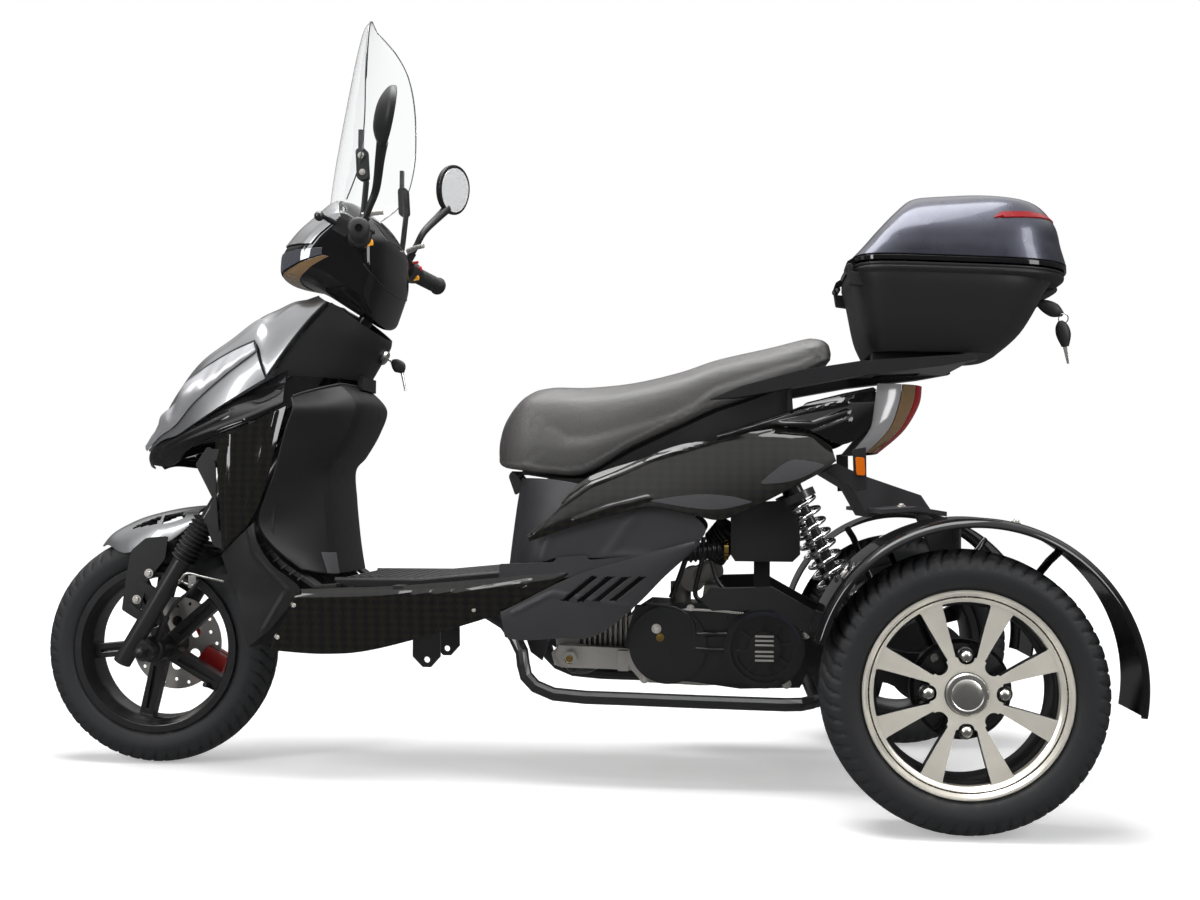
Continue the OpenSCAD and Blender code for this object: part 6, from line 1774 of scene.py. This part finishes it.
@dataclass
class Studio:
    """Pale floor, soft light and the photograph's camera."""

    eye: tuple[float, float, float] = (0.390, 2.668, 0.546)
    yaw: float = 5.19
    pitch: float = 1.85
    roll: float = 0.41
    focal_px: float = 1350.0
    frame_px: float = 1200.0
    fill: float = 0.19
    sky: float = 1.5
    horizon: float = 0.12
    sky_low: float = 0.3
    sky_high: float = 0.75
    floor_size: float = 9.0

    def camera(self) -> None:
        """Place the camera from its yaw, pitch and roll; the eye is measured from the rear axle."""
        yaw, pitch, roll = (math.radians(v) for v in (self.yaw, self.pitch, self.roll))
        level = Vector((math.sin(yaw), -math.cos(yaw), 0))
        right = Vector((-math.cos(yaw), -math.sin(yaw), 0))
        forward = level * math.cos(pitch) + Vector((0, 0, 1)) * math.sin(pitch)
        up = -level * math.sin(pitch) + Vector((0, 0, 1)) * math.cos(pitch)
        side = right * math.cos(roll) + up * math.sin(roll)
        top = -right * math.sin(roll) + up * math.cos(roll)
        data = bpy.data.cameras.new("camera")
        data.sensor_width = 36.0
        data.lens = self.focal_px / self.frame_px * data.sensor_width
        data.clip_start, data.clip_end = 0.05, 100.0
        camera = new_object("camera", data)
        turn = Matrix((side, top, -forward)).transposed().to_4x4()
        place = Matrix.Translation((self.eye[0] + REAR[0] / MM, self.eye[1], self.eye[2]))
        camera.matrix_world = place @ turn
        bpy.context.scene.camera = camera

    def lamp(self, name: str, place: tuple, target: tuple, size: tuple, power: float) -> None:
        """Add a soft rectangular light that faces a target."""
        data = bpy.data.lights.new(name, "AREA")
        data.shape, data.size, data.size_y, data.energy = "RECTANGLE", size[0], size[1], power
        light = new_object(name, data)
        light.location = place
        light.rotation_mode = "QUATERNION"
        light.rotation_quaternion = (Vector(target) - Vector(place)).to_track_quat("-Z", "Y")

    def world(self) -> None:
        """White where it is seen; in reflections a dark horizon under a bright sky; soft light elsewhere."""
        world = bpy.data.worlds.new("surroundings")
        bpy.context.scene.world = world
        world.use_nodes = True
        nodes = Nodes(world.node_tree)
        world.node_tree.nodes.clear()
        path = nodes.add("LightPath")
        seen = nodes.math("MAXIMUM", path.outputs["Is Camera Ray"], path.outputs["Is Transmission Ray"])
        up = nodes.add("SeparateXYZ", {0: nodes.add("TexCoord").outputs["Generated"]}).outputs["Z"]
        sky = nodes.between(up, self.sky_low, self.sky_high, (self.horizon, self.sky))
        glossy = nodes.math("MULTIPLY", path.outputs["Is Glossy Ray"], nodes.math("SUBTRACT", sky, self.fill))
        plain = nodes.math("ADD", self.fill, glossy)
        strength = nodes.math("MAXIMUM", plain, seen)
        light = nodes.add("Background", {"Color": (1, 1, 1, 1), "Strength": strength})
        nodes.add("OutputWorld", {0: light.outputs[0]})

    def floor(self) -> None:
        """Pale floor whose faint glow lifts it to the white of the surroundings outside the shadow."""
        mesh = bpy.data.meshes.new("floor")
        side = self.floor_size * np.array([-1.0, 1.0])
        grid = np.stack(np.meshgrid(side, side, indexing="ij"), -1).reshape(-1, 2)
        mesh.from_pydata(np.column_stack([grid, np.zeros(4)]).tolist(), [], [(0, 2, 3, 1)])
        floor = new_object("floor", mesh)
        floor.visible_glossy = False
        material = bpy.data.materials.new("pale_floor")
        material.use_nodes = True
        nodes = Nodes(material.node_tree)
        place = nodes.add("TexCoord").outputs["Object"]
        away = nodes.add("VectorMath", {0: place}, operation="LENGTH").outputs["Value"]
        nodes.feed(material.node_tree.nodes["Principled BSDF"], {
            "Base Color": (0.8, 0.8, 0.8, 1), "Roughness": 1.0, "Specular IOR Level": 0.0,
            "Emission Color": (1, 1, 1, 1), "Emission Strength": nodes.between(away, 1.5, 4.0, (0.36, 1.0))})
        mesh.materials.append(material)

    def build(self) -> None:
        """Build the camera, the lights and the floor, with plain colour handling."""
        self.camera()
        self.world()
        self.floor()
        self.lamp("overhead", (0.1, 0.3, 3.4), (0, 0, 0.5), (3.0, 2.0), 165)
        self.lamp("front_side", (2.8, 3.0, 1.9), (0.3, 0, 0.6), (0.8, 2.0), 70)
        self.lamp("rear_side", (-3.0, 2.4, 2.0), (-0.5, 0, 0.6), (0.8, 2.0), 48)
        bpy.context.scene.view_settings.view_transform = "Standard"


def main() -> None:
    """Build the trike's looks in order."""
    logging.basicConfig(level=logging.INFO, format="%(message)s")
    Studio().build()
    for part in (Wheels(), FrontFork(), FrontBody(), Handlebar(), MiddleBody(), RearBody(), TopBox(), Seat(),
                 PowerUnit()):
        LOG.info("building %s", type(part).__name__)
        part.build()
    dress_cad_nodes()


if __name__ == "__main__":
    main()
